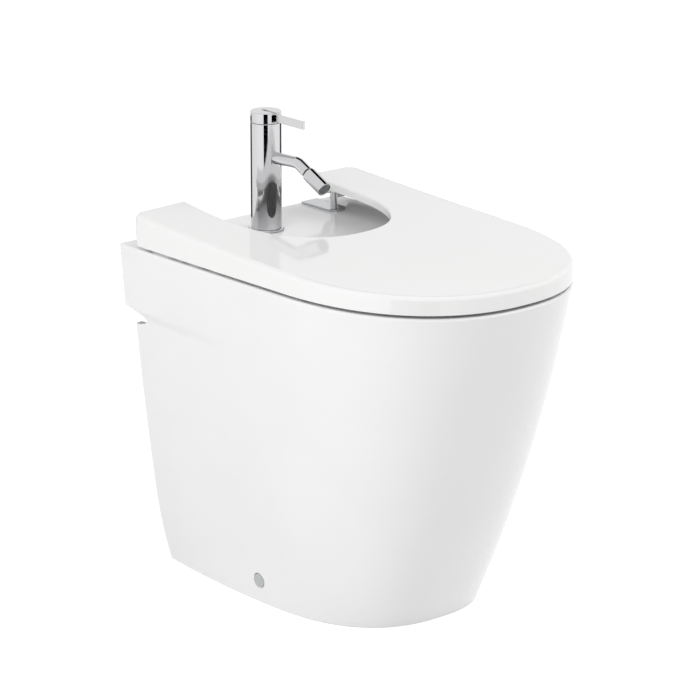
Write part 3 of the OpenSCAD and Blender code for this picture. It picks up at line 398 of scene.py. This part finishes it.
def lid_half():
    """Right half of the plan from the cut-out's front round the back to the front tip: x, y and
    the kind of edge there."""
    half = []
    for j in range(CUT_STEPS + 1):
        a = math.pi / 2 * (1 - j / CUT_STEPS)
        half.append((CUT_HALF * math.cos(a) ** (2 / CUT_POW),
                     CUT_START - (CUT_START - CUT_Y) * math.sin(a) ** (2 / CUT_POW), "cut"))
    r, arm_x = CUT_CORNER, CUT_HALF - CUT_DRAW
    for j in range(1, ARM_STEPS + 1):
        t = j / ARM_STEPS
        half.append((CUT_HALF - CUT_DRAW * t * t, CUT_START + t * (LID_BACK - r - CUT_START), "cut"))
    for a in (0.4, 0.8, 1.2):
        half.append((arm_x + r - r * math.cos(a), LID_BACK - r + r * math.sin(a), "cut"))
    out_x = WIDTH / 2 - BLOCK_DRAW * ((LID_BACK - NOSE_Y) / (WALL_Y - NOSE_Y)) ** 2
    # The back edge is a low band as far as the hinge boss, and a skirt beyond it
    gate = HINGE_BOSS_X - 1.5
    for x in (arm_x + r, 108, 116, 124, 132, 140, gate - 0.3):
        half.append((x, LID_BACK, "band"))
    r = LID_CORNER
    for x in (gate + 0.3, 156, out_x - r):
        half.append((x, LID_BACK, "skirt"))
    for j in range(1, BACK_STEPS + 1):
        a = math.pi / 2 * j / BACK_STEPS
        half.append((out_x - r + r * math.sin(a), LID_BACK - r + r * math.cos(a), "side"))
    for s in range(1, SIDE_STEPS + 1):
        q = (LID_BACK - r - NOSE_Y) * (1 - s / SIDE_STEPS)
        half.append((WIDTH / 2 - BLOCK_DRAW * (q / (WALL_Y - NOSE_Y)) ** 2, NOSE_Y + q, "side"))
    for j in range(1, TIP_STEPS + 1):
        a = math.pi / 2 * j / TIP_STEPS
        half.append((WIDTH / 2 * spow(math.cos(a), 2 / NOSE_POWER),
                     NOSE_Y - (NOSE_Y - FRONT_Y) * math.sin(a) ** (2 / NOSE_POWER), "side"))
    return half


right = lid_half()
plan = right + [(-x, y, kind) for x, y, kind in reversed(right[1:-1])]
# The plan runs clockwise, so its direction turned a quarter to the right points into the cover
inward = []
for k in range(len(plan)):
    along = (Vector(plan[(k + 1) % len(plan)][:2]) - Vector(plan[k - 1][:2])).normalized()
    inward.append(Vector((along.y, -along.x)))
LOWER_EDGE = {"side": LID_Z, "skirt": LID_Z + 3,
              "band": lid_top(HINGE_BOSS_X, LID_BACK) - BAND_H + 2}


def lid_ring(inset, drop=0.0, lift=0.0):
    """Ring of the cover drawn in by inset: drop below its top or, with no drop, lift above its
    lower edge."""
    ring = []
    for (x, y, kind), n in zip(plan, inward):
        i = inset(kind) if callable(inset) else inset
        px, py = x + n.x * i, y + n.y * i
        if drop is None:
            z = LOWER_EDGE.get(kind, lid_top(x, y) - BAND_H) + lift
        else:
            z = lid_top(px, py) - (drop(kind) if callable(drop) else drop)
        ring.append((px, py, z))
    return ring


def edge_radius(kind):
    return EDGE_R if kind == "side" else CUT_R


def skin(kind):
    return SKIRT_T if kind == "side" else BAND_T


# Up the inside, round the lower edge, then round the outer edge to the top
rings = [lid_ring(lambda kind: skin(kind) + 2, LID_T),
         lid_ring(lambda kind: skin(kind) + 0.6, LID_T + 0.6),
         lid_ring(skin, LID_T + 2), lid_ring(skin, None, 0.8),
         lid_ring(lambda kind: skin(kind) - 0.8, None),
         lid_ring(0.8, None), lid_ring(0.2, None, 0.3), lid_ring(0, None, 0.9)]
for k in range(EDGE_STEPS + 1):
    a = math.pi / 2 * k / EDGE_STEPS
    rings.append(lid_ring(lambda kind: edge_radius(kind) * (1 - math.cos(a)),
                          lambda kind: edge_radius(kind) * (1 - math.sin(a))))
cover = loft("cover", rings)
# The flat fills of the top and of its underside are sliced into a grid and lifted to the crown
bpy.context.view_layer.objects.active = cover
bpy.ops.object.mode_set(mode="EDIT")
bpy.ops.mesh.select_mode(type="FACE")
GRID, ON_PLANE = 10, 1e-9
for drop in (0, LID_T):
    bpy.ops.mesh.select_all(action="DESELECT")
    mesh = bmesh.from_edit_mesh(cover.data)
    fill = max((f for f in mesh.faces if len(f.verts) > 100), key=lambda f: f.calc_center_median().z)
    fill.select_set(True)
    for vert in fill.verts:
        vert.co.z = 0
    bmesh.update_edit_mesh(cover.data)
    for axis, span in ((1, range(-255, 240, GRID)), (0, range(-170, 175, GRID))):
        for at in span:
            point, normal = [0, 0, 0], [0, 0, 0]
            # A little off the round number, so that no slice runs through a point of the plan
            point[axis], normal[axis] = (at + 0.37) * MM, 1
            bpy.ops.mesh.bisect(plane_co=point, plane_no=normal)
            mesh = bmesh.from_edit_mesh(cover.data)
            for face in mesh.faces:
                face.select_set(all(abs(v.co.z) < ON_PLANE for v in face.verts))
            bmesh.update_edit_mesh(cover.data)
    mesh = bmesh.from_edit_mesh(cover.data)
    for vert in mesh.verts:
        if abs(vert.co.z) < ON_PLANE:
            vert.co.z = (lid_top(vert.co.x / MM, vert.co.y / MM) - drop) * MM
    bmesh.update_edit_mesh(cover.data)
bpy.ops.object.mode_set(mode="OBJECT")
# The hinge bosses and the buffers' bosses under the top
BUFFER_X, BUFFER_YS, BUFFER_BOSS_R = 163, (-60, 120), 6.5
for side in (-1, 1):
    xs = sorted((side * HINGE_BOSS_X, side * (HINGE_BOSS_X + HINGE_BOSS_W)))
    cut(cover, block("hinge_boss", (xs[0], *HINGE_BOSS_LOW), (xs[1], *HINGE_BOSS_HIGH), 1.2), "UNION")
    for y in BUFFER_YS:
        profile = [(BUFFER_BOSS_R - 0.3, LID_Z + 0.2), (BUFFER_BOSS_R, LID_Z + 0.6), (BUFFER_BOSS_R, 448)]
        cut(cover, turned("buffer_boss", profile, upright(side * BUFFER_X, y), 40), "UNION")
smooth(cover, 32)
# Urea resin, compression moulded in a polished tool and left unpainted: the glaze's white, a
# hair softer in its gloss, with the faintest ripple of the tool's polish.
moulded_resin = new_material("moulded_resin", "#F3F3F3", 0.07, ior=1.5)
tone(moulded_resin, "#F4F4F4", "#F2F2F1", 180)
relief(moulded_resin, 60, 0.012, 1, (0.05, 0.09))
wear(cover, moulded_resin, "cover", "cover_gloss", "lid")

# ---------------------------------------------------------------------------
# Buffers: four soft feet pressed into the cover's bosses. They carry it just clear of the rim.
# ---------------------------------------------------------------------------
def tube_ends(radius, low, high, edge):
    """Profile of a plain turned bar with both ends rounded."""
    turns = [math.pi / 2 * k / 4 for k in range(5)]
    profile = [(radius - edge - 0.3, low)]
    profile += [(radius - edge + edge * math.sin(a), low + edge - edge * math.cos(a)) for a in turns]
    profile += [(radius - edge + edge * math.cos(a), high - edge + edge * math.sin(a)) for a in turns]
    return profile + [(radius - edge - 0.3, high)]


def join(name, pieces):
    """One piece of several that are made and fixed alike."""
    bpy.ops.object.select_all(action="DESELECT")
    for piece in pieces:
        piece.select_set(True)
    bpy.context.view_layer.objects.active = pieces[0]
    bpy.ops.object.join()
    bpy.context.object.name = name
    return bpy.context.object


# Thermoplastic elastomer, moulded: milky, matt, with a slight grain
soft_buffer = new_material("soft_buffer", "#E6E6E3", 0.55, ior=1.48)
relief(soft_buffer, 1.2, 0.03, 3)
buffer_profile = tube_ends(6, RIM_Z + 0.3, LID_Z + 0.2, 0.9)
buffers = join("cover_buffers", [turned("buffer", buffer_profile, upright(x, y), 48)
                                 for x in (-BUFFER_X, BUFFER_X) for y in BUFFER_YS])
smooth(buffers)
wear(buffers, soft_buffer, "cover", "rubber", "lid_bumpers")

# ---------------------------------------------------------------------------
# Tap column: turned brass tube body, polished and chromium plated, on a flat base ring
# that seals it to the deck.
# ---------------------------------------------------------------------------
TAP_R, COLUMN_Z, SEAM_Z, TAP_TOP = 19, 423, 556.5, 570
tap_axis = upright(0, TAP_Y)
# Decorative chromium on polished brass: neutral mirror, with the fine haze left by the last buff
chrome = new_material("polished_chrome", "#CECED0", 0.05, metallic=1.0)
relief(chrome, 60, 0.002, 0, (0.05, 0.1))
column = turned("tap_column", tube_ends(TAP_R, COLUMN_Z, SEAM_Z - 0.15, 0.45), tap_axis, 128)
# Bored from the top for the cartridge and, wider, for its nut
cartridge_bore = [(14.1, 520), (14.1, 549), (16.25, 549), (16.25, SEAM_Z + 3)]
cut(column, turned("cartridge_bore", cartridge_bore, tap_axis))
smooth(column)
wear(column, chrome, "bidet", "chrome", "tap_body")
base_profile = [(17, 420.6), (21.6, 420.6), (21.9, 420.75), (22, 421.0), (22, 421.9), (21.85, 422.3),
                (21.4, 422.7), (20.9, COLUMN_Z), (18.5, COLUMN_Z)]
base = turned("tap_base", base_profile, tap_axis, 128)
smooth(base)
wear(base, chrome, "bidet", "chrome", "tap_base_ring")

# ---------------------------------------------------------------------------
# Turning cap: chromed cap that turns with the cartridge's stem, slotted for the lever.
# ---------------------------------------------------------------------------
LEVER_HALF, SLOT_GAP, POCKET_HALF = 2, 0.2, 6
slot_half, clear_of_cap = LEVER_HALF + SLOT_GAP, TAP_Y - 24
cap = turned("tap_cap", tube_ends(TAP_R, SEAM_Z + 0.45, TAP_TOP, 0.6), tap_axis, 128)
cut(cap, block("pocket", (-POCKET_HALF, clear_of_cap, SEAM_Z + 2.1),
               (POCKET_HALF, TAP_Y - 5, TAP_TOP - 1.7)))
cut(cap, block("slot", (-slot_half, clear_of_cap, TAP_TOP - 5), (slot_half, TAP_Y + 6.6, TAP_TOP + 5)))
cut(cap, bore("cap_bore", 16.2, SEAM_Z - 1, TAP_TOP - 2, tap_axis))
# The hole at the back lets a key reach the lever's grub screw
backward = Matrix.Translation((0, TAP_Y + 10, SEAM_Z + 5)) @ Matrix.Rotation(-math.pi / 2, 4, "X")
cut(cap, bore("screw_hole", 3, 0, 12, backward, 40))
smooth(cap)
wear(cap, chrome, "handle", "chrome", "handle_cap")

# ---------------------------------------------------------------------------
# Lever: a thin forged blade on a hub, chromed with a slightly softer finish, clamped to the
# cartridge's stem by a grub screw. It leaves the cap through the slot in its top.
# ---------------------------------------------------------------------------
# The blade's side view about its pivot: its top is an arc round it inside the cap, then straight
PIVOT_Z, BLADE_TOP, BLADE_L, BLADE_DEEP = 550, 19, 71.5, 9.6
side_view = [(-3, BLADE_TOP - BLADE_DEEP), (-3, 12.5), (7, 12.5)]
side_view += [(-BLADE_TOP * math.sin(math.radians(a)), BLADE_TOP * math.cos(math.radians(a)))
              for a in (-28, -24, -20, -16, -12, -8, -4, 0)]
side_view += [(-BLADE_L, BLADE_TOP), (-BLADE_L, BLADE_TOP - BLADE_DEEP)]
blade = loft("blade", [[(x, TAP_Y + y, PIVOT_Z + z) for y, z in side_view]
                       for x in (-LEVER_HALF, LEVER_HALF)])


def soften(piece, width):
    """Rounds every sharp edge of a piece."""
    bpy.context.view_layer.objects.active = piece
    step = piece.modifiers.new("soften", "BEVEL")
    step.width, step.segments, step.limit_method = width * MM, 3, "ANGLE"
    step.angle_limit = math.radians(40)
    bpy.ops.object.modifier_apply(modifier=step.name)


soften(blade, 0.5)
hub = turned("hub", tube_ends(6.5, 556, 564, 0.3), tap_axis, 64)
lever = join("tap_lever", [blade, hub])
smooth(lever)
# The same plating over a finely blasted bar: it spreads the reflections a little
satin_chrome = new_material("satin_chrome", "#D0D0D1", 0.16, metallic=1.0)
relief(satin_chrome, 3, 0.002, 2, (0.13, 0.2))
wear(lever, satin_chrome, "lever", "chrome", "handle_lever")

# ---------------------------------------------------------------------------
# Spout: brass tube let into the column, bent down once, polished and chromium plated.
# ---------------------------------------------------------------------------
SPOUT_R, BEND_R = 7.25, 18
RISE, DROP = math.radians(2.6), math.radians(26.5)
# Distances from the column's axis to the tube's start and to its corner, and the leg after that
SPOUT_IN, SPOUT_CORNER, END_L = 14.5, 60.5, 19.8
LEG_L = (SPOUT_CORNER - SPOUT_IN) / math.cos(RISE)
START = Vector((0, TAP_Y - SPOUT_IN, 513.7))


def heading(turn):
    """Unit vector along the tube after it has bent down by turn."""
    a = math.pi / 2 - RISE + turn
    return Vector((0, -math.sin(a), math.cos(a)))


def station(centre, turn):
    """Frame with its axis along the tube at a point of its middle line."""
    return Matrix.Translation(centre) @ Matrix.Rotation(math.pi / 2 - RISE + turn, 4, "X")


BEND, BEND_STEPS = RISE + DROP, 12
TANGENT = BEND_R * math.tan(BEND / 2)
stations = [(START + heading(0) * s, 0) for s in (-4, 4, 10, 18, 26, 34, LEG_L - TANGENT)]
corner = START + heading(0) * (LEG_L - TANGENT)
chord = 2 * BEND_R * math.sin(BEND / (2 * BEND_STEPS))
for k in range(1, BEND_STEPS + 1):
    corner = corner + heading(BEND * (k - 0.5) / BEND_STEPS) * chord
    stations.append((corner.copy(), BEND * k / BEND_STEPS))
spout_end = corner + heading(BEND) * (END_L - TANGENT)
stations += [(corner + heading(BEND) * s, BEND) for s in (5, END_L - TANGENT - 0.5)]
tube = [circle(SPOUT_R, 0, station(centre, turn)) for centre, turn in stations]
tube += [circle(r, s, station(spout_end, BEND))
         for r, s in ((7.18, -0.2), (7.0, -0.06), (6.75, 0), (6.0, 0))]
spout = loft("tap_spout_tube", tube)
smooth(spout)
wear(spout, chrome, "bidet", "chrome", "tap_spout")

# ---------------------------------------------------------------------------
# Swivel: a chromed ball on a short neck lets the nozzle tilt and swing, with a dark gap
# between it and the spout.
# ---------------------------------------------------------------------------
BALL_R, NECK_R, GROOVE, BALL_IN = 5.5, 3.4, 2.5, 3
ball_centre = spout_end + heading(BEND) * (GROOVE + BALL_IN)
at_ball = station(ball_centre, BEND)
# The ball starts where the neck meets it, and is cut flat a little short of its pole
lean, flat = math.asin(NECK_R / BALL_R), math.pi - 0.4
neck = [(NECK_R, -GROOVE - BALL_IN - 1), (NECK_R, -BALL_R * math.cos(lean))]
neck += [(BALL_R * math.sin(a), -BALL_R * math.cos(a))
         for a in (lean + (flat - lean) * k / 20 for k in range(1, 21))]
swivel = turned("swivel_neck", neck, at_ball, 64)
smooth(swivel)
# Chrome given a darker, warmer and duller colour than the tube: painted shade of the gap between spout
# and nozzle, drifting at random between two darkened tones
shade_darkened_chrome = new_material("shade_darkened_chrome", "#8F8C86", 0.3, metallic=1.0)
tone(shade_darkened_chrome, "#96928B", "#827E78", 6)
wear(swivel, shade_darkened_chrome, "bidet", "chrome", "swivel_ball")

# ---------------------------------------------------------------------------
# Nozzle: turned brass sleeve, chromed, with the aerator let into its open end.
# ---------------------------------------------------------------------------
nozzle_profile = [(4.6, 1.5), (5.2, 0.0), (5.9, -2.9), (6.2, -3), (7.9, -3), (8.15, -2.93), (8.85, -2.25),
                  (9, -1.95), (9, 8), (9, 18), (9, 28.5), (8.93, 28.85), (8.75, 29.1), (8.5, 29.2),
                  (7.9, 29.2), (7.65, 29.1), (7.5, 28.9), (7.5, 25), (7.5, 21.5)]
nozzle = turned("nozzle_sleeve", nozzle_profile, at_ball, 128)
smooth(nozzle)
wear(nozzle, chrome, "nozzle", "chrome", "nozzle")

# ---------------------------------------------------------------------------
# Hinges: a stamped steel plate under each back corner, a turned post on it, and the white
# damper housing that slides over the post and carries the cover's shaft.
# ---------------------------------------------------------------------------
PLATE_R, PLATE_FRONT, PLATE_BACK = 13, 213, 262
POST_X, POST_Y, POST_R, POST_TOP = 119.5, 208.5, 4.3, 453
HINGE_Y, HINGE_Z = 225, 447
BARREL_IN, BARREL_OUT, BARREL_R = 122, 146, 8
SOCKET_R, SOCKET_OUT, SOCKET_Z = 6.5, 11.5, 446
# The plate's stamped edge: (inset, height) from its foot to its top
PLATE_EDGE = [(0.3, 0), (0.1, 0.1), (0, 0.4), (0, 2.3), (0.12, 2.65), (0.35, 2.88), (0.7, 3.0),
              (1.2, 3.0)]


def plate_ring(x, inset, z):
    """Outline of a plate: a half round at its front and square at its back."""
    r = PLATE_R - inset
    arc = [math.pi + math.pi * k / 32 for k in range(33)]
    ring = [(x + r * math.cos(a), PLATE_FRONT + r * math.sin(a), z) for a in arc]
    return ring + [(x + r, PLATE_BACK - inset, z), (x - r, PLATE_BACK - inset, z)]


plates, posts, barrels, shafts = [], [], [], []
for side in (-1, 1):
    plates.append(loft("plate", [plate_ring(side * PLATE_X, inset, RIM_Z + height)
                                 for inset, height in PLATE_EDGE]))
    post_place = upright(side * POST_X, POST_Y)
    posts.append(turned("post", tube_ends(POST_R, RIM_Z + 2.9, POST_TOP, 0.8), post_place, 64))
    sideways = outward(side, BARREL_IN, HINGE_Y, HINGE_Z)
    barrel = turned("barrel", tube_ends(BARREL_R, 0, BARREL_OUT - BARREL_IN, 0.8), sideways, 64)
    xs = sorted((side * (POST_X - SOCKET_R), side * (POST_X + SOCKET_OUT)))
    socket = block("socket", (xs[0], POST_Y - SOCKET_R, SOCKET_Z),
                   (xs[1], HINGE_Y, HINGE_Z + BARREL_R - 0.3), 0.8)
    cut(barrel, socket, "UNION")
    cut(barrel, bore("post_bore", POST_R + 0.05, SOCKET_Z - 4, POST_TOP + 0.5, post_place, 64))
    barrels.append(barrel)
    shafts.append(turned("shaft", tube_ends(4, 5, 36, 0.3), sideways, 48))
hinge_plates = join("hinge_plate_pair", plates)
smooth(hinge_plates)
# Stamped stainless steel, tumbled and plated: darker than the tap and a little softer
plated_steel = new_material("plated_steel", "#B9BBBD", 0.12, metallic=1.0)
relief(plated_steel, 12, 0.006, 2, (0.09, 0.16))
wear(hinge_plates, plated_steel, "bidet", "chrome", "hinge_plates")
hinge_posts = join("hinge_post_pair", posts)
smooth(hinge_posts)
wear(hinge_posts, chrome, "bidet", "chrome", "hinge_posts")
housings = join("damper_housings", barrels)
smooth(housings)
wear(housings, moulded_resin, "bidet", "cover_gloss", "hinge_blocks")
hinge_shafts = join("hinge_shaft_pair", shafts)
smooth(hinge_shafts)
# Ground stainless steel: fine marks of the grinding grit, drawn at 0.6 mm so that they show
ground_steel = new_material("ground_steel", "#B9BBBD", 0.25, metallic=1.0)
relief(ground_steel, 0.6, 0.006, 2, (0.2, 0.32))
wear(hinge_shafts, ground_steel, "cover", "steel", "damper_shafts")

# ---------------------------------------------------------------------------
# Side caps: two chromed plastic caps pushed over the fixing screws, low on the flanks.
# ---------------------------------------------------------------------------
CAP_FACE = 134.6
cap_profile = [(CAP_R - 1, -8), (CAP_R - 0.1, -8), (CAP_R, -7.8), (CAP_R, -1.6), (CAP_R - 0.2, -1.0),
               (CAP_R - 0.6, -0.55), (CAP_R - 1.2, -0.3), (CAP_R - 2.2, -0.12), (5, -0.03), (1.5, 0)]
side_caps = join("side_cap_pair", [
    turned("side_cap", cap_profile, outward(side, CAP_FACE, FIX_Y, FIX_Z), 64) for side in (-1, 1)])
smooth(side_caps)
# Plated ABS: chrome's tone with the slight orange peel of the moulding below it
plated_plastic = new_material("plated_plastic", "#B2B4B5", 0.22, metallic=1.0)
relief(plated_plastic, 2.5, 0.01, 2, (0.18, 0.28))
wear(side_caps, plated_plastic, "bidet", "grey_plastic", "side_caps")

# ---------------------------------------------------------------------------
# Waste: chromed flange seated on a gasket in the bowl, and the mushroom plug that clicks
# down into it.
# ---------------------------------------------------------------------------
waste_axis = upright(0, WASTE_Y)
flange_profile = [(16.5, 265), (18.4, 265), (18.4, 287), (31.7, 287), (32, 287.2), (32, 288),
                  (31.6, 288.9), (30.4, 289.8), (29, 290), (27.8, 290), (24, 289), (19.5, 288),
                  (17, 286.6), (16.5, 285.5), (16.5, 268)]
flange = turned("waste_flange_ring", flange_profile, waste_axis)
smooth(flange)
wear(flange, chrome, "bidet", "chrome", "waste_flange")
PLUG_Z, PLUG_R, DOME_Z, DOME_H = 298.3, 27, 300.3, 3
plug_profile = [(5.5, 294.3), (6, 294.5), (6, 298.1), (6.3, PLUG_Z), (PLUG_R - 0.4, PLUG_Z),
                (PLUG_R - 0.1, 298.5), (PLUG_R, 299), (PLUG_R, DOME_Z)]
plug_profile += [(PLUG_R * math.cos(a), DOME_Z + DOME_H * math.sin(a))
                 for a in (0.15, 0.3, 0.5, 0.7, 0.9, 1.1, 1.3, 1.45, 1.54)]
plug = turned("waste_plug_head", plug_profile, waste_axis)
smooth(plug)
wear(plug, chrome, "plug", "chrome", "waste_plug")

# ---------------------------------------------------------------------------
# Inner works kept from the CAD: waste, trap, cartridge, fixings and seals, each with the
# finish that its real piece has.
# ---------------------------------------------------------------------------
# Nickel-plated brass of the waste and trap: mirror-like but warmer, with handling haze
plated_brass = new_material("plated_brass", "#C9C8C4", 0.14, metallic=1.0)
tone(plated_brass, "#CDCCC8", "#C2C0BA", 20)
relief(plated_brass, 8, 0.01, 2, (0.1, 0.2))
# Bare turned brass: yellow, with soft tarnish in patches
bare_brass = new_material("bare_brass", "#C8A15A", 0.3, metallic=1.0)
tone(bare_brass, "#CFAA62", "#B58E4C", 7)
relief(bare_brass, 0.7, 0.01, 2, (0.25, 0.4))
# Zinc-plated pressed steel: grey with the faint spangle of the bath
zinc_steel = new_material("zinc_steel", "#A9ADAF", 0.36, metallic=1.0)
tone(zinc_steel, "#B4B8BA", "#9A9EA1", 5, 2)
relief(zinc_steel, 3, 0.01, 2, (0.3, 0.45))
# Moulded nitrile rubber: near black, matt
black_rubber = new_material("black_rubber", "#1F2021", 0.65, ior=1.52)
relief(black_rubber, 0.9, 0.02, 3, (0.55, 0.75))
# Injection moulded acetal and nylon of the cartridge, sleeves and wing nuts
grey_nylon = new_material("grey_nylon", "#8C9092", 0.42, ior=1.53)
relief(grey_nylon, 1.0, 0.015, 3, (0.35, 0.5))
white_nylon = new_material("white_nylon", "#E3E4E2", 0.4, ior=1.53)
relief(white_nylon, 1.0, 0.015, 3, (0.34, 0.48))
FINISH = {
    plated_brass: ("waste_body", "waste_nut", "trap_nut", "trap_tube", "trap_body", "trap_cup",
                   "outlet_nut", "outlet_pipe", "plug_stem", "swivel_ring", "cartridge_nut"),
    bare_brass: ("tap_nut", "cartridge_stem"),
    zinc_steel: ("floor_angles", "angle_nuts", "side_screws", "clamp_washer", "tap_stud", "hinge_studs",
                 "click_spring", "handle_screw"),
    black_rubber: ("flange_gasket", "cone_gasket", "plug_seal", "trap_seal", "cup_seal", "outlet_seal",
                   "tap_base_seal", "aerator_seal", "clamp_pad", "hinge_cones"),
    grey_nylon: ("aerator", "handle_plug", "cartridge", "click_cartridge"),
    white_nylon: ("side_sleeves", "swivel_seat", "hinge_nuts"),
}
for material, nodes in FINISH.items():
    for name in nodes:
        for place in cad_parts[name].material_slots:
            place.material = material

# ---------------------------------------------------------------------------
# Floor and light: white paper floor, big soft boxes on both sides, and dark cards set round
# the tap, which only reflections see, as a photographer sets them to draw chrome's edges.
# ---------------------------------------------------------------------------
def seen_rays(tree):
    """A node whose value is 1 for what the camera, a reflection or a view through glass sees."""
    path = add(tree, "ShaderNodeLightPath")
    sight = add(tree, "ShaderNodeMath", {"operation": "MAXIMUM"},
                links={0: (path, "Is Camera Ray"), 1: (path, "Is Glossy Ray")})
    return add(tree, "ShaderNodeMath", {"operation": "MAXIMUM"},
               links={0: (sight, "Value"), 1: (path, "Is Transmission Ray")})


bpy.ops.object.select_all(action="DESELECT")
bpy.ops.mesh.primitive_circle_add(vertices=96, radius=60, fill_type="NGON")
floor = bpy.context.object
floor.name = "floor"
# Seen directly the paper glows white and keeps the object's shadow, and otherwise it is plain paper
paper = bpy.data.materials.new("white_paper")
paper.use_nodes = True
tree = paper.node_tree
tree.nodes.clear()
seen = seen_rays(tree)
bounce = add(tree, "ShaderNodeBsdfDiffuse", inputs={"Color": linear("#E6E6E6")})
shade = add(tree, "ShaderNodeBsdfDiffuse", inputs={"Color": linear("#8C8C8C")})
glow = add(tree, "ShaderNodeEmission", inputs={"Color": linear("#FFFFFF"), "Strength": 0.9})
white = add(tree, "ShaderNodeAddShader", links={0: (shade, "BSDF"), 1: (glow, "Emission")})
mix = add(tree, "ShaderNodeMixShader",
          links={0: (seen, "Value"), 1: (bounce, "BSDF"), 2: (white, "Shader")})
add(tree, "ShaderNodeOutputMaterial", links={"Surface": (mix, "Shader")})
floor.data.materials.append(paper)

# The sky lights the object with SKY of white, and is seen as plain white
SKY = 0.47
world = bpy.data.worlds.new("studio")
scene.world = world
world.use_nodes = True
tree = world.node_tree
tree.nodes.clear()
level = add(tree, "ShaderNodeMapRange", inputs={"To Min": SKY, "To Max": 1.0},
            links={"Value": (seen_rays(tree), "Value")})
sky = add(tree, "ShaderNodeBackground", inputs={"Color": linear("#FFFFFF")},
          links={"Strength": (level, "Result")})
add(tree, "ShaderNodeOutputWorld", links={"Surface": (sky, "Background")})


def toward(azimuth, elevation):
    """Unit vector: azimuth 0 is the front and -90 the left."""
    a, e = math.radians(azimuth), math.radians(elevation)
    return Vector((math.sin(a) * math.cos(e), -math.cos(a) * math.cos(e), math.sin(e)))


BOX_SIZE, BOX_AWAY, MIDDLE = 2.0, 3.5, Vector((0, 0, 0.3))


def softbox(name, azimuth, elevation, power):
    """A soft box turned to the middle of the object."""
    lamp = bpy.data.lights.new(name, "AREA")
    lamp.energy, lamp.size = power, BOX_SIZE
    made = bpy.data.objects.new(name, lamp)
    scene.collection.objects.link(made)
    away = toward(azimuth, elevation)
    made.location = MIDDLE + away * BOX_AWAY
    made.rotation_euler = (-away).to_track_quat("-Z", "Y").to_euler()
    made.visible_glossy = False


softbox("left_low", -95, 10, 30)
softbox("left_high", -60, 45, 39)
softbox("right_low", 50, 10, 23)
softbox("right_high", 60, 45, 31)

TAP_HEAD = Vector((0, TAP_Y * MM, 0.48))


def card(name, colour, azimuth, elevation, distance, width, height):
    """A matt card turned to the head of the tap."""
    bpy.ops.object.select_all(action="DESELECT")
    bpy.ops.mesh.primitive_plane_add(size=1)
    made = bpy.context.object
    made.name = name
    away = toward(azimuth, elevation)
    made.matrix_world = (Matrix.Translation(TAP_HEAD + away * distance)
                         @ away.to_track_quat("Z", "Y").to_matrix().to_4x4()
                         @ Matrix.Diagonal((width, height, 1, 1)))
    made.data.materials.append(new_material(name, colour, 1.0, Specular_IOR_Level=0.0))
    made.visible_camera = made.visible_diffuse = False
    made.visible_shadow = made.visible_transmission = False


card("card_front", "#050505", -41.3, -13, 1.3, 0.72, 0.35)
card("card_back_left", "#484848", 170, -11.5, 0.35, 0.31, 0.14)
card("card_back_right", "#484848", 106, -11.5, 0.35, 0.28, 0.14)
card("card_above", "#101010", 110, 58, 1.2, 1.3, 0.87)

# ---------------------------------------------------------------------------
# Camera of the photograph: a long lens, 41 degrees to the left and 17 above.
# ---------------------------------------------------------------------------
LOOK_DOWN, LOOK_RIGHT = 16.93, 41.26
camera_data = bpy.data.cameras.new("camera")
camera_data.lens, camera_data.sensor_width = 211.87, 36
camera_data.clip_end = 200
camera = bpy.data.objects.new("camera", camera_data)
scene.collection.objects.link(camera)
camera.location = (-3.15281, -3.55234, 1.75523)
camera.rotation_euler = (math.radians(90 - LOOK_DOWN), 0, math.radians(-LOOK_RIGHT))
scene.camera = camera
